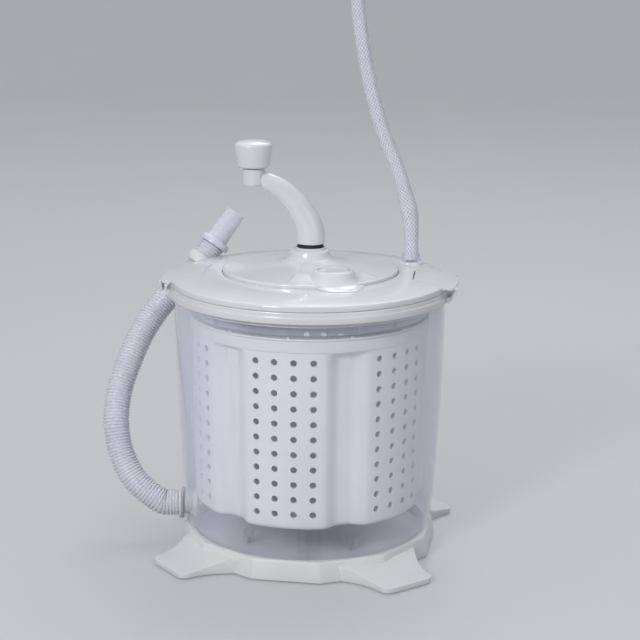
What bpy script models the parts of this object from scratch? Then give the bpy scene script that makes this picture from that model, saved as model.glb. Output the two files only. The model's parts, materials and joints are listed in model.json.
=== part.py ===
"""Hand-cranked mini washing machine: a clear tub on a footed base, a perforated basket that spins in it,
and a lid that holds the crank, a planetary gear train, a filler cap, two latches and the water inlet.

Metres, +Z up. The origin lies on the floor, on the tub's axis.
-Y is the front, and the latches lie near +X and -X.
"""

import math

import bmesh
import bpy
from mathutils import Matrix, Vector

# Fits and counts shared by all pieces
FIT = 0.0003
RUNNING_GAP = 0.0006
OVERRUN = 0.002
MERGE = 0.00001
FULL_TURN = 2 * math.pi
SHARP_ANGLE = math.radians(35)
ROUTE_SAMPLES = 24
RING_SEGMENTS = 24
ROUND_SEGMENTS = 12
SMALL_SEGMENTS = 8

# The tub's radius, which the other round pieces follow, and its outer side read down it:
# shares of its height above the base and of its top radius
TUB_TOP_RADIUS = 0.1280
TUB_SHAPE_SHARES = (
    (1.000, 1.000),
    (0.700, 0.992),
    (0.400, 0.970),
    (0.090, 0.933),
    (0.000, 0.908),
)
TUB_FOOT_INSET = 0.0040
TUB_FOOT_RADIUS = TUB_TOP_RADIUS * TUB_SHAPE_SHARES[-1][1] - TUB_FOOT_INSET

# Base and feet
BASE_CLEARANCE = 0.0015
BASE_TOP = 0.0205
BASE_SIDES = 12
BASE_SHOULDER = 0.0083
BASE_FLARE = 0.0035
BASE_TOP_RADIUS = TUB_FOOT_RADIUS + BASE_SHOULDER
BASE_FLOOR_RADIUS = BASE_TOP_RADIUS + BASE_FLARE
BASE_DECK_TOP = 0.0080
BASE_DECK_THICKNESS = 0.0030
BASE_SKIRT_GAP = 0.0013
BASE_SKIRT_INNER_RADIUS = TUB_FOOT_RADIUS + BASE_SKIRT_GAP
TUB_SEAT_CLEARANCE = 0.0006
FOOT_ANGLES = tuple(math.radians(45 + 90 * step) for step in range(4))
FOOT_ROOT_INSET = 0.0125
FOOT_SHOULDER_INSET = 0.0025
FOOT_REACH = 0.0370
FOOT_ROOT_RADIUS = BASE_TOP_RADIUS - FOOT_ROOT_INSET
FOOT_SHOULDER_RADIUS = BASE_TOP_RADIUS - FOOT_SHOULDER_INSET
FOOT_TIP_FLAT = 0.0030
FOOT_TIP_RADIUS = BASE_FLOOR_RADIUS + FOOT_REACH
FOOT_TIP_HALF_WIDTH = 0.0250
FOOT_FLARE = 0.0160
FOOT_CORNER_RADIUS = 0.0080
FOOT_FLARE_STEPS = 3
FOOT_CORNER_STEPS = 2
FOOT_ROOT_TOP = 0.0180
FOOT_TIP_TOP = 0.0063
FOOT_SWEEP_SEGMENTS = 40
PAD_RADIUS = 0.0085
PAD_INSET = 0.0160
PAD_PLACE_RADIUS = FOOT_TIP_RADIUS - PAD_INSET
PAD_THICKNESS = 0.0030
BASE_SCREW_PLACE_RADIUS = 0.0700
BASE_SCREW_RADIUS = 0.0015
BASE_SCREW_HEAD_RADIUS = 0.0030
BASE_SCREW_HEAD_HEIGHT = 0.0018
BASE_SCREW_LENGTH = 0.0100

# Clear tub: shares of its height above the base and of its top radius, read down the outer side
TUB_TOP = 0.2500
TUB_WALL = 0.0025
TUB_BOTTOM_CORNER = 0.0040
TUB_BOSS_RADIUS = 0.0050
TUB_BOSS_HEIGHT = 0.0120
PIVOT_BOSS_RADIUS = 0.0130
PIVOT_BOSS_HEIGHT = 0.0160
PIVOT_PIN_RADIUS = 0.0030
PIVOT_PIN_SINK = 0.0130
PIVOT_PIN_TOP = 0.0440

# Drain at the tub's left side
DRAIN_AZIMUTH = math.radians(190)
DRAIN_HEIGHT = 0.0355
DRAIN_BORE_RADIUS = 0.0090
DRAIN_SPOUT_WALL = 0.0020
DRAIN_FLANGE_RADIUS = 0.0150
DRAIN_FLANGE_THICKNESS = 0.0025
DRAIN_GASKET_THICKNESS = 0.0015
DRAIN_NUT_HEIGHT = 0.0040
DRAIN_NUT_RADIUS = 0.0136
DRAIN_NUT_SIDES = 6
DRAIN_PAD_RADIUS = 0.0144
DRAIN_WALL_SHARE = 0.925
DRAIN_PAD_RISE = 0.0031
DRAIN_PAD_DEPTH = 0.0061
DRAIN_PAD_OUTER = TUB_TOP_RADIUS * DRAIN_WALL_SHARE + DRAIN_PAD_RISE
DRAIN_PAD_INNER = TUB_TOP_RADIUS * DRAIN_WALL_SHARE - DRAIN_PAD_DEPTH

# Perforated basket
BASKET_PANELS = 6
BASKET_PANEL_START = math.radians(-92)
BASKET_GAP = 0.0160
BASKET_TAPER = 0.0025
BASKET_RIM_STEP = 0.0012
BASKET_RADIUS = TUB_TOP_RADIUS - BASKET_GAP
BASKET_BOTTOM_RADIUS = BASKET_RADIUS - BASKET_TAPER
BASKET_WALL = 0.0022
BASKET_BOTTOM = 0.0470
BASKET_TOP = 0.2255
BASKET_RIM_RADIUS = BASKET_RADIUS + BASKET_RIM_STEP
BASKET_RIM_HEIGHT = 0.0105
BASKET_CORNER = 0.0040
VALLEY_DEPTH = 0.0085
VALLEY_HALF_ANGLE = math.radians(11.6)
VALLEY_FADE = 0.0056
PANEL_FACETS = 4
PANEL_FACET_ANGLE = math.radians(9.2)
FLOOR_HOLE_COUNT = 12
FLOOR_HOLE_PLACE_RADIUS = 0.0700
FLOOR_HOLE_RADIUS = 0.0040
HUB_RADIUS = 0.0100
HUB_DROP = 0.0130
HUB_RISE = 0.0040
BUSH_RADIUS = 0.0060

# Basket cover: a rim with spokes and the socket that the drive reaches into
COVER_RIM_WIDTH = 0.0130
COVER_THICKNESS = 0.0020
COVER_SPIGOT_DEPTH = 0.0050
COVER_SPIGOT_WALL = 0.0018
COVER_SPOKES = 3
COVER_SPOKE_WIDTH = 0.0160
COVER_TAB_COUNT = 12
COVER_TAB_WIDTH = 0.0020
COVER_TAB_HEIGHT = 0.0012
COVER_HUB_RADIUS = 0.0150
COVER_HUB_DROP = 0.0060
COVER_HUB_RISE = 0.0110
SOCKET_CLEARANCE = 0.0009
SOCKET_DEPTH = 0.0150
DOG_RADIUS = 0.0070
DOG_BOTTOM = 0.2246
DOG_TOP = 0.2434
DOG_SIDES = 6

# Collar on the tub's rim
COLLAR_OVERHANG = 0.0045
COLLAR_RADIUS = TUB_TOP_RADIUS + COLLAR_OVERHANG
COLLAR_BOTTOM = 0.2454
COLLAR_STEP = 0.2518
COLLAR_STEP_DEPTH = 0.0012
COLLAR_TOP = 0.2560
COLLAR_INSIDE = 0.0039
COLLAR_INNER_RADIUS = TUB_TOP_RADIUS - TUB_WALL - COLLAR_INSIDE
COLLAR_INNER_BOTTOM = 0.2410
COLLAR_EDGE = 0.0010
LUG_HALF_ANGLE = math.radians(13)
LUG_REACH = 0.0030
LUG_HEIGHT = 0.0050
LUG_STEPS = 4

# Lid
LID_SETBACK = 0.0015
LID_RADIUS = COLLAR_RADIUS - LID_SETBACK
LID_EDGE_TOP = 0.2618
LID_SHOULDER_TOP = 0.2670
LID_WALL = 0.0026
LID_EDGE = 0.0012
LID_SKIRT = 0.0024
LID_RING_DEPTH = 0.0085
LID_RING_WALL = 0.0026
GASKET_THICKNESS = 0.0014
GASKET_WIDTH = 0.0055
RECESS_FLOOR = 0.2645
WELL_RADIUS = 0.0445
WELL_WALL = 0.0030
WELL_FLOOR_TOP = 0.2550
WELL_FLOOR_THICKNESS = 0.0030
OUTPUT_BOSS_WALL = 0.0035
OUTPUT_BOSS_BOTTOM = 0.2440

# Splash ring under the lid
SPLASH_BOTTOM = 0.2305
SPLASH_INSET = 0.0091
SPLASH_BOTTOM_RADIUS = COLLAR_INNER_RADIUS - SPLASH_INSET
SPLASH_WALL = 0.0016
SPLASH_KNEE = 0.2490
SPLASH_RIB_CENTRES = tuple(math.radians(-52 + 90 * step) for step in range(4))
SPLASH_RIB_HALF_SPACING = math.radians(9)
SPLASH_RIB_WIDTH = 0.0014

# Gearbox cover with the crank's hub cone
GEAR_COVER_RADIUS = 0.0826
GEAR_COVER_GAP = 0.0007
GEAR_COVER_EDGE_TOP = 0.2700
GEAR_COVER_EDGE = 0.0010
GEAR_COVER_WALL = 0.0026
HUB_CONE_SHARES = (
    (1.00, 0.0),
    (0.55, 0.18),
    (0.34, 0.33),
    (0.285, 0.46),
    (0.240, 0.72),
    (0.225, 0.93),
    (0.205, 1.0),
)
HUB_CONE_TOP = 0.2876
COVER_SCREW_COUNT = 4
COVER_SCREW_PLACE_RADIUS = 0.0640
COVER_SCREW_FIRST_ANGLE = math.radians(-15)
COVER_SCREW_RADIUS = 0.0014
COVER_SCREW_HEAD_RADIUS = 0.0028
COVER_SCREW_HEAD_HEIGHT = 0.0016
COVER_SCREW_LENGTH = 0.0070
COVER_BOSS_RADIUS = 0.0042

# Filler port and its cap on the gearbox cover
PORT_PLACE_RADIUS = 0.0617
PORT_AZIMUTH = math.radians(-60)
PORT_TOP = 0.2798
PORT_TOP_RADIUS = 0.0170
PORT_BASE_RADIUS = 0.0203
PORT_BORE_RADIUS = 0.0125
PORT_SEAT_RADIUS = 0.0144
CAP_THICKNESS = 0.0022
CAP_PLUG_RADIUS = 0.0118
CAP_PLUG_DEPTH = 0.0075
CAP_PLUG_WALL = 0.0020
CAP_FINGER_RADIUS = 0.0040
CAP_FINGER_DEPTH = 0.0012
CAP_FINGER_SHARE = 0.80
CAP_FINGER_AZIMUTH = math.radians(190)
CAP_GASKET_HEIGHT = 0.0008
PORT_WEB_HALF_WIDTH = 0.0120
PORT_WEB_BOTTOM = 0.2726
PORT_WEB_TOP = 0.2765
PORT_WEB_INNER = 0.0140
PORT_WEB_OUTER = 0.0500

# Crank
CRANK_AZIMUTH = math.radians(190)
CRANK_OFFSET = 0.0530
CRANK_BOTTOM = 0.2932
CRANK_BASE_RADIUS = 0.0140
CRANK_END_RADIUS = 0.0072
CRANK_STRAIGHT = 0.0060
CRANK_RISE = 0.0545
CRANK_POST_RADIUS = 0.0104
CRANK_POST_BOTTOM = 0.3500
CRANK_POST_TOP = 0.3637
CRANK_SOCKET_DEPTH = 0.0180
CRANK_HANDLE_SHARES = (0.40, 0.49)
CRANK_CURVE_POINTS = 11
CRANK_BEVEL_RESOLUTION = 4
SHAFT_RADIUS = 0.0060
SHAFT_SQUARE_SIDES = 4
SHAFT_BUSH_RADIUS = 0.0090
SEAL_RADIUS = 0.0124
SEAL_THICKNESS = 0.0045
SHAFT_SCREW_RADIUS = 0.0020
SHAFT_SCREW_HEAD_RADIUS = 0.0038
SHAFT_SCREW_HEAD_HEIGHT = 0.0022
SHAFT_SCREW_LENGTH = 0.0120

# Knob
KNOB_BOTTOM = 0.3650
KNOB_TOP = 0.3905
KNOB_SHAPE_SHARES = (
    (1.000, 0.00),
    (0.985, 0.55),
    (0.925, 0.84),
    (0.780, 1.00),
    (0.660, 0.985),
    (0.060, 0.835),
    (0.000, 0.780),
)
KNOB_RADIUS = 0.0180
KNOB_PIN_RADIUS = 0.0030
KNOB_PIN_HEAD_RADIUS = 0.0048
KNOB_PIN_HEAD_HEIGHT = 0.0020
KNOB_PIN_SINK = 0.0090
KNOB_PIN_TOP = 0.3820

# Gear train: the ring gear on the crank shaft turns three planets on fixed pins, and they turn the sun gear
GEAR_MODULE = 0.0020
SUN_TEETH = 12
PLANET_TEETH = 12
RING_TEETH = 36
PLANET_COUNT = 3
ADDENDUM_SHARE = 0.70
DEDENDUM_SHARE = 0.95
TOOTH_TIP_SHARE = 0.160
TOOTH_ROOT_SHARE = 0.280
GEAR_BOTTOM_GAP = 0.0012
GEAR_HEIGHT = 0.0070
RING_WEB_GAP = 0.0008
RING_WEB_THICKNESS = 0.0025
RING_GEAR_RADIUS = 0.0412
RING_HUB_RADIUS = 0.0095
RING_SOCKET_DEPTH = 0.0030
HUB_SPACE_TOP = 0.2720
PLANET_PIN_RADIUS = 0.0020
PLANET_PIN_SINK = 0.0020
OUTPUT_SHAFT_RADIUS = 0.0050
OUTPUT_BUSH_RADIUS = 0.0080

# Latches at both sides of the lid
LATCH_AZIMUTHS = {"latch_right": math.radians(4), "latch_left": math.radians(184)}
LATCH_HINGE_INSET = 0.0315
LATCH_HINGE_RADIUS = LID_RADIUS - LATCH_HINGE_INSET
LATCH_LENGTH = 0.0405
LATCH_HALF_WIDTH = 0.0390
LATCH_OUTLINE_SHARES = ((0.0, 0.54), (0.63, 1.0), (0.90, 0.95), (1.0, 0.82))
LATCH_THICKNESS = 0.0022
LATCH_CLEARANCE = 0.0004
LATCH_ROOT_EASE = 0.0013
LATCH_HOOK_WALL = 0.0024
LATCH_HOOK_DEPTH = 0.0090
LATCH_HOOK_WIDTH = 0.0120
LATCH_HOOK_OFFSET = 0.0250
LATCH_BARREL_RADIUS = 0.0017
LATCH_PIN_RADIUS = 0.0008
LATCH_PIN_HALF_LENGTH = 0.0250
LATCH_SLOT_WIDTH = 0.0036
LATCH_SLOT_DEPTH = 0.0045
LATCH_SEAT_INSIDE = 0.0100
LATCH_SEAT_OUTSIDE = 0.0201
LATCH_SEAT_INNER_RADIUS = LATCH_HINGE_RADIUS - LATCH_SEAT_INSIDE
LATCH_SEAT_OUTER_RADIUS = LATCH_HINGE_RADIUS + LATCH_SEAT_OUTSIDE
LATCH_SEAT_HALF_ANGLE = math.radians(22)
LATCH_SEAT_STEPS = 8

# Water inlet
INLET_INSET = 0.0213
INLET_PLACE_RADIUS = LID_RADIUS - INLET_INSET
INLET_AZIMUTH = math.radians(37.1)
INLET_BOSS_RADIUS = 0.0120
INLET_BOSS_TOP = 0.2664
INLET_FLANGE_RADIUS = 0.0098
INLET_FLANGE_THICKNESS = 0.0016
INLET_TUBE_RADIUS = 0.0050
INLET_TUBE_BORE = 0.0034
INLET_TUBE_BOTTOM = 0.2535
INLET_HOSE_RADIUS = 0.0070
INLET_HOSE_STEPS = 34
INLET_STRAIGHT = 0.0160
INLET_CUP_HEIGHT = 0.0055
INLET_CUP_WALL = 0.0014
TAP_NUT_RADIUS = 0.0135
TAP_NUT_HEIGHT = 0.0200
TAP_SLEEVE_RADIUS = 0.0100
TAP_SLEEVE_HEIGHT = 0.0160
TAP_BORE_RADIUS = 0.0090
TAP_BORE_DEPTH = 0.0140

# Drain hose, its connector and the clip that holds them
HOSE_RADIUS = 0.0130
HOSE_ROOT_RADIUS = 0.0116
HOSE_BORE_RADIUS = 0.0095
HOSE_RIBS = 64
HOSE_BORE_STEPS = 34
HOSE_STRAIGHT = 0.0260
HOSE_BEVEL_RESOLUTION = 2
CONNECTOR_COLLAR_RADIUS = 0.0155
CONNECTOR_COLLAR_LENGTH = 0.0070
CONNECTOR_TUBE_RADIUS = 0.0105
CONNECTOR_TUBE_LENGTH = 0.0330
CONNECTOR_WALL = 0.0018
CLIP_WIDTH = 0.0100
CLIP_WALL = 0.0022
CLIP_OPENING = math.radians(80)
CLIP_ARC_STEPS = 10
CLIP_BACKSET = 0.0190
CLIP_ARM_WIDTH = 0.0080
CLIP_ARM_HEIGHT = 0.0060

# Routes of the two hoses, chosen by hand along what the photograph shows
ROUTE_TUB_RADIUS = 0.1280
DRAIN_ROUTE = (
    (-0.1690, -0.0250, 0.0590),
    (-0.1830, -0.0185, 0.0820),
    (-0.1900, -0.0095, 0.1090),
    (-0.1905, 0.0040, 0.1360),
    (-0.1850, 0.0180, 0.1610),
    (-0.1765, 0.0350, 0.1870),
    (-0.1665, 0.0500, 0.2060),
    (-0.1560, 0.0620, 0.2200),
    (-0.1430, 0.0745, 0.2330),
)
DRAIN_END = (-0.1162, 0.0923, 0.2690)
DRAIN_END_DIRECTION = (0.51, 0.33, 0.79)
INLET_ROUTE = (
    (0.0868, 0.0660, 0.3050),
    (0.0815, 0.0652, 0.3300),
    (0.0725, 0.0637, 0.3590),
    (0.0583, 0.0612, 0.3940),
    (0.0460, 0.0590, 0.4380),
    (0.0377, 0.0577, 0.4810),
    (0.0335, 0.0572, 0.5150),
    (0.0318, 0.0570, 0.5320),
)


# Scene and material helpers


def clear_scene():
    for item in list(bpy.data.objects):
        bpy.data.objects.remove(item, do_unlink=True)


def new_collection(name, hidden):
    made = bpy.data.collections.new(name)
    bpy.context.scene.collection.children.link(made)
    made.hide_render = hidden
    return made


def new_material(name, color, roughness, metallic=0.0, alpha=1.0, transmission=0.0):
    made = bpy.data.materials.new(name)
    made.use_nodes = True
    shader = made.node_tree.nodes["Principled BSDF"]
    shader.inputs["Base Color"].default_value = (*color, 1.0)
    shader.inputs["Roughness"].default_value = roughness
    shader.inputs["Metallic"].default_value = metallic
    shader.inputs["Alpha"].default_value = alpha
    shader.inputs["Transmission Weight"].default_value = transmission
    made.diffuse_color = (*color, alpha)
    return made


MATERIALS = {
    "gloss_white": ((0.80, 0.80, 0.82), 0.18),
    "satin_white": ((0.78, 0.78, 0.78), 0.42),
    "basket_white": ((0.76, 0.77, 0.84), 0.40),
    "clear_tub": ((0.88, 0.90, 0.95), 0.08, 0.0, 0.35, 0.9),
    "clear_ring": ((0.72, 0.75, 0.80), 0.15, 0.0, 0.6, 0.6),
    "hose_vinyl": ((0.74, 0.76, 0.86), 0.30),
    "braided_vinyl": ((0.76, 0.78, 0.84), 0.30),
    "black_rubber": ((0.03, 0.03, 0.03), 0.70),
    "grey_rubber": ((0.35, 0.35, 0.36), 0.75),
    "gear_nylon": ((0.85, 0.84, 0.78), 0.45),
    "bearing_bronze": ((0.55, 0.38, 0.18), 0.35, 1.0),
    "steel": ((0.62, 0.62, 0.63), 0.30, 1.0),
    "tap_brass": ((0.72, 0.55, 0.25), 0.30, 1.0),
}


class Workshop:
    """The two collections, the materials, and the moves that put a finished mesh in its place."""

    def __init__(self):
        self.pieces = new_collection("mini_washing_machine", hidden=False)
        self.cutters = new_collection("cutters", hidden=True)
        self.materials = {name: new_material(name, *look) for name, look in MATERIALS.items()}
        self.helper_count = 0

    def add(self, name, mesh, material):
        """A new piece: its node's name, its mesh and its material."""
        made = bpy.data.objects.new(name, mesh)
        mesh.materials.append(self.materials[material])
        self.pieces.objects.link(made)
        return made

    def add_copies(self, name, mesh, material, frames):
        """Equal pieces that share one mesh, each in its own frame and numbered from 1."""
        mesh.materials.append(self.materials[material])
        for step, frame in enumerate(frames):
            made = bpy.data.objects.new(f"{name}_{step + 1}", mesh)
            made.matrix_world = frame
            self.pieces.objects.link(made)

    def helper(self, mesh):
        """A cutter or an adder, which is not rendered and is shown as wire."""
        self.helper_count += 1
        made = bpy.data.objects.new(f"helper_{self.helper_count:02d}", mesh)
        made.hide_render = True
        made.display_type = "WIRE"
        self.cutters.objects.link(made)
        return made


def boolean(target, operation, helpers):
    for helper in helpers:
        change = target.modifiers.new(f"{operation.lower()}_{helper.name}", "BOOLEAN")
        change.operation = operation
        change.solver = "EXACT"
        change.object = helper
    return target


def cut(target, *helpers):
    return boolean(target, "DIFFERENCE", helpers)


def unite(target, *helpers):
    return boolean(target, "UNION", helpers)


def polar(radius, azimuth, height=0.0):
    return Vector((radius * math.cos(azimuth), radius * math.sin(azimuth), height))


def placed(location, turn=0.0, tilt=0.0):
    """A move to a place, turned about Z after a tilt about Y."""
    return Matrix.Translation(location) @ Matrix.Rotation(turn, 4, "Z") @ Matrix.Rotation(tilt, 4, "Y")


# Mesh helpers


def smooth(mesh):
    mesh.shade_smooth()
    mesh.set_sharp_from_angle(angle=SHARP_ANGLE)
    return mesh


def mesh_of(bm, name):
    bmesh.ops.recalc_face_normals(bm, faces=bm.faces)
    mesh = bpy.data.meshes.new(name)
    bm.to_mesh(mesh)
    bm.free()
    return smooth(mesh)


def add_cone(bm, bottom_radius, top_radius, low, high, segments, matrix=None, phase=0.0):
    """A cylinder or cone along Z between two heights, in the given frame."""
    frame = matrix if matrix is not None else Matrix.Identity(4)
    middle = Matrix.Translation(Vector((0, 0, (low + high) / 2)))
    turn = Matrix.Rotation(phase, 4, "Z")
    bmesh.ops.create_cone(
        bm,
        cap_ends=True,
        segments=segments,
        radius1=bottom_radius,
        radius2=top_radius,
        depth=high - low,
        matrix=frame @ middle @ turn,
    )


def cone_mesh(name, bottom_radius, top_radius, low, high, segments, matrix=None, phase=0.0):
    bm = bmesh.new()
    add_cone(bm, bottom_radius, top_radius, low, high, segments, matrix, phase)
    return mesh_of(bm, name)


def rod_mesh(name, radius, low, high, segments=ROUND_SEGMENTS, matrix=None, phase=0.0):
    return cone_mesh(name, radius, radius, low, high, segments, matrix, phase)


def rods_mesh(name, radius, low, high, segments, frames):
    """Equal rods in one mesh, one in each frame."""
    bm = bmesh.new()
    for frame in frames:
        add_cone(bm, radius, radius, low, high, segments, frame)
    return mesh_of(bm, name)


def add_box(bm, size, matrix):
    made = bmesh.ops.create_cube(bm, size=1.0)
    scale = Matrix.Diagonal((*size, 1.0))
    bmesh.ops.transform(bm, matrix=matrix @ scale, verts=made["verts"])


def boxes_mesh(name, size, frames):
    bm = bmesh.new()
    for frame in frames:
        add_box(bm, size, frame)
    return mesh_of(bm, name)


def screw_mesh(name, radius, head_radius, head_height, length):
    """A screw along +Z, with its origin at the underside of the head: the head lies below it."""
    return loft_mesh(
        name,
        (
            ring_points(head_radius, -head_height),
            ring_points(head_radius, 0.0),
            ring_points(radius, 0.0),
            ring_points(radius, length),
        ),
    )


def ring_points(radius, height, segments=SMALL_SEGMENTS):
    return [polar(radius, FULL_TURN * step / segments, height) for step in range(segments)]


def bridge(bm, lower, upper):
    count = len(lower)
    for step in range(count):
        after = (step + 1) % count
        bm.faces.new((lower[step], lower[after], upper[after], upper[step]))


def loft_mesh(name, rings):
    """Closed rings of equal count, joined in order and capped at both ends."""
    bm = bmesh.new()
    made = [[bm.verts.new(point) for point in ring] for ring in rings]
    for lower, upper in zip(made, made[1:]):
        bridge(bm, lower, upper)
    bm.faces.new(made[0])
    bm.faces.new(made[-1])
    return mesh_of(bm, name)


def turned(shop, name, profile, material=None, segments=RING_SEGMENTS, closed=True):
    """A profile in X and Z, read down its outer side, turned about the Z axis by a Screw modifier."""
    mesh = bpy.data.meshes.new(name)
    count = len(profile)
    edges = [(step, step + 1) for step in range(count - 1)]
    if closed:
        edges.append((count - 1, 0))
    mesh.from_pydata([(radius, 0.0, height) for radius, height in profile], edges, [])
    made = shop.add(name, mesh, material) if material else shop.helper(mesh)
    screw = made.modifiers.new("turn", "SCREW")
    screw.axis = "Z"
    screw.angle = FULL_TURN
    screw.steps = segments
    screw.render_steps = segments
    screw.use_merge_vertices = True
    screw.merge_threshold = MERGE
    screw.use_smooth_shade = False
    return made


def curve_to_mesh(curve, name):
    """The mesh of a curve with its caps welded. The curve itself is removed."""
    holder = bpy.data.objects.new(name + "_curve", curve)
    bpy.context.scene.collection.objects.link(holder)
    bpy.context.view_layer.update()
    graph = bpy.context.evaluated_depsgraph_get()
    mesh = bpy.data.meshes.new_from_object(holder.evaluated_get(graph))
    mesh.name = name
    bpy.data.objects.remove(holder, do_unlink=True)
    bpy.data.curves.remove(curve)
    mesh.materials.clear()
    bm = bmesh.new()
    bm.from_mesh(mesh)
    bmesh.ops.remove_doubles(bm, verts=bm.verts, dist=MERGE)
    bmesh.ops.recalc_face_normals(bm, faces=bm.faces)
    bm.to_mesh(mesh)
    bm.free()
    return smooth(mesh)


def baked(made, name):
    """The mesh of an object with all its modifiers applied."""
    bpy.context.view_layer.update()
    graph = bpy.context.evaluated_depsgraph_get()
    mesh = bpy.data.meshes.new_from_object(made.evaluated_get(graph))
    mesh.name = name
    mesh.materials.clear()
    return smooth(mesh)


def plate_mesh(name, outlines, low, high, frame=None):
    """A flat outline, with any holes as further outlines, as a plate between two heights."""
    curve = bpy.data.curves.new(name, "CURVE")
    curve.dimensions = "2D"
    curve.fill_mode = "BOTH"
    curve.extrude = (high - low) / 2
    for outline in outlines:
        spline = curve.splines.new("POLY")
        spline.points.add(len(outline) - 1)
        for point, (x, y) in zip(spline.points, outline):
            point.co = (x, y, 0.0, 1.0)
        spline.use_cyclic_u = True
    mesh = curve_to_mesh(curve, name)
    mesh.transform(Matrix.Translation(Vector((0, 0, (low + high) / 2))))
    if frame is not None:
        mesh.transform(frame)
    return mesh


def tube_mesh(name, points, radii, bevel_resolution):
    """A round tube along points, with its own radius at each, as a curve with filled caps."""
    curve = bpy.data.curves.new(name, "CURVE")
    curve.dimensions = "3D"
    curve.bevel_depth = 1.0
    curve.bevel_resolution = bevel_resolution
    curve.use_fill_caps = True
    curve.twist_mode = "MINIMUM"
    spline = curve.splines.new("POLY")
    spline.points.add(len(points) - 1)
    for made, point, radius in zip(spline.points, points, radii):
        made.co = (*point, 1.0)
        made.radius = radius
    return curve_to_mesh(curve, name)


def smooth_route(points, steps):
    """Points at even distances along a route: straight at both ends, and a smooth curve between them."""
    first, *knots, last = [Vector(point) for point in points]
    lead_in = (knots[0] - first).normalized() * (knots[1] - knots[0]).length
    lead_out = (last - knots[-1]).normalized() * (knots[-1] - knots[-2]).length
    knots = [knots[1] - 2 * lead_in, *knots, knots[-2] + 2 * lead_out]
    dense = [first]
    for before, start, end, after in zip(knots, knots[1:], knots[2:], knots[3:]):
        shares = [step / ROUTE_SAMPLES for step in range(ROUTE_SAMPLES)]
        dense += [spline_point(before, start, end, after, share) for share in shares]
    dense += [knots[-2], last]
    lengths = [0.0]
    for start, end in zip(dense, dense[1:]):
        lengths.append(lengths[-1] + (end - start).length)
    return [point_at(dense, lengths, lengths[-1] * step / steps) for step in range(steps + 1)]


def spline_point(before, start, end, after, share):
    """A point of the Catmull-Rom curve between start and end."""
    square = share * share
    cube = square * share
    return (
        (2 * start)
        + (end - before) * share
        + (2 * before - 5 * start + 4 * end - after) * square
        + (3 * start - before - 3 * end + after) * cube
    ) / 2


def point_at(dense, lengths, distance):
    for index in range(1, len(dense)):
        if lengths[index] >= distance:
            span = lengths[index] - lengths[index - 1]
            share = (distance - lengths[index - 1]) / span if span > 0 else 0.0
            return dense[index - 1].lerp(dense[index], share)
    return dense[-1]


def frame_along(origin, direction):
    """A frame whose Z runs along a direction and whose Y leans towards up."""
    turn = Vector(direction).to_track_quat("Z", "Y").to_matrix().to_4x4()
    return Matrix.Translation(Vector(origin)) @ turn


def circle(radius, segments=ROUND_SEGMENTS):
    return [polar(radius, FULL_TURN * step / segments).to_2d() for step in range(segments)]


def sleeve_mesh(name, inner, outer, low, high, segments=ROUND_SEGMENTS, frame=None):
    """A plain round sleeve, washer or bush."""
    return plate_mesh(name, (circle(outer, segments), circle(inner, segments)), low, high, frame)


def down(height):
    return height - OVERRUN


def up(height):
    return height + OVERRUN


# Base with its feet, pads and screws

TUB_BOTTOM = BASE_DECK_TOP + FIT
TUB_FLOOR_TOP = TUB_BOTTOM + TUB_WALL
BASE_SCREW_FRAMES = [
    Matrix.Translation(polar(BASE_SCREW_PLACE_RADIUS, angle, BASE_DECK_TOP - BASE_DECK_THICKNESS - FIT))
    for angle in FOOT_ANGLES
]
PAD_FRAMES = [Matrix.Translation(polar(PAD_PLACE_RADIUS, angle)) for angle in FOOT_ANGLES]


def foot_outline():
    """One side of a foot, from its flared root to its rounded tip, and the same side mirrored."""
    corner_start = FOOT_TIP_RADIUS - FOOT_CORNER_RADIUS
    side = []
    for step in range(FOOT_FLARE_STEPS + 1):
        share = step / FOOT_FLARE_STEPS
        reach = FOOT_ROOT_RADIUS + (corner_start - FOOT_ROOT_RADIUS) * share
        side.append((reach, FOOT_TIP_HALF_WIDTH + FOOT_FLARE * (1 - share) ** 2))
    for step in range(1, FOOT_CORNER_STEPS + 1):
        turn = math.pi / 2 * step / FOOT_CORNER_STEPS
        reach = corner_start + FOOT_CORNER_RADIUS * math.sin(turn)
        side.append((reach, FOOT_TIP_HALF_WIDTH - FOOT_CORNER_RADIUS * (1 - math.cos(turn))))
    return [(x, -y) for x, y in side] + list(reversed(side))


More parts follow.
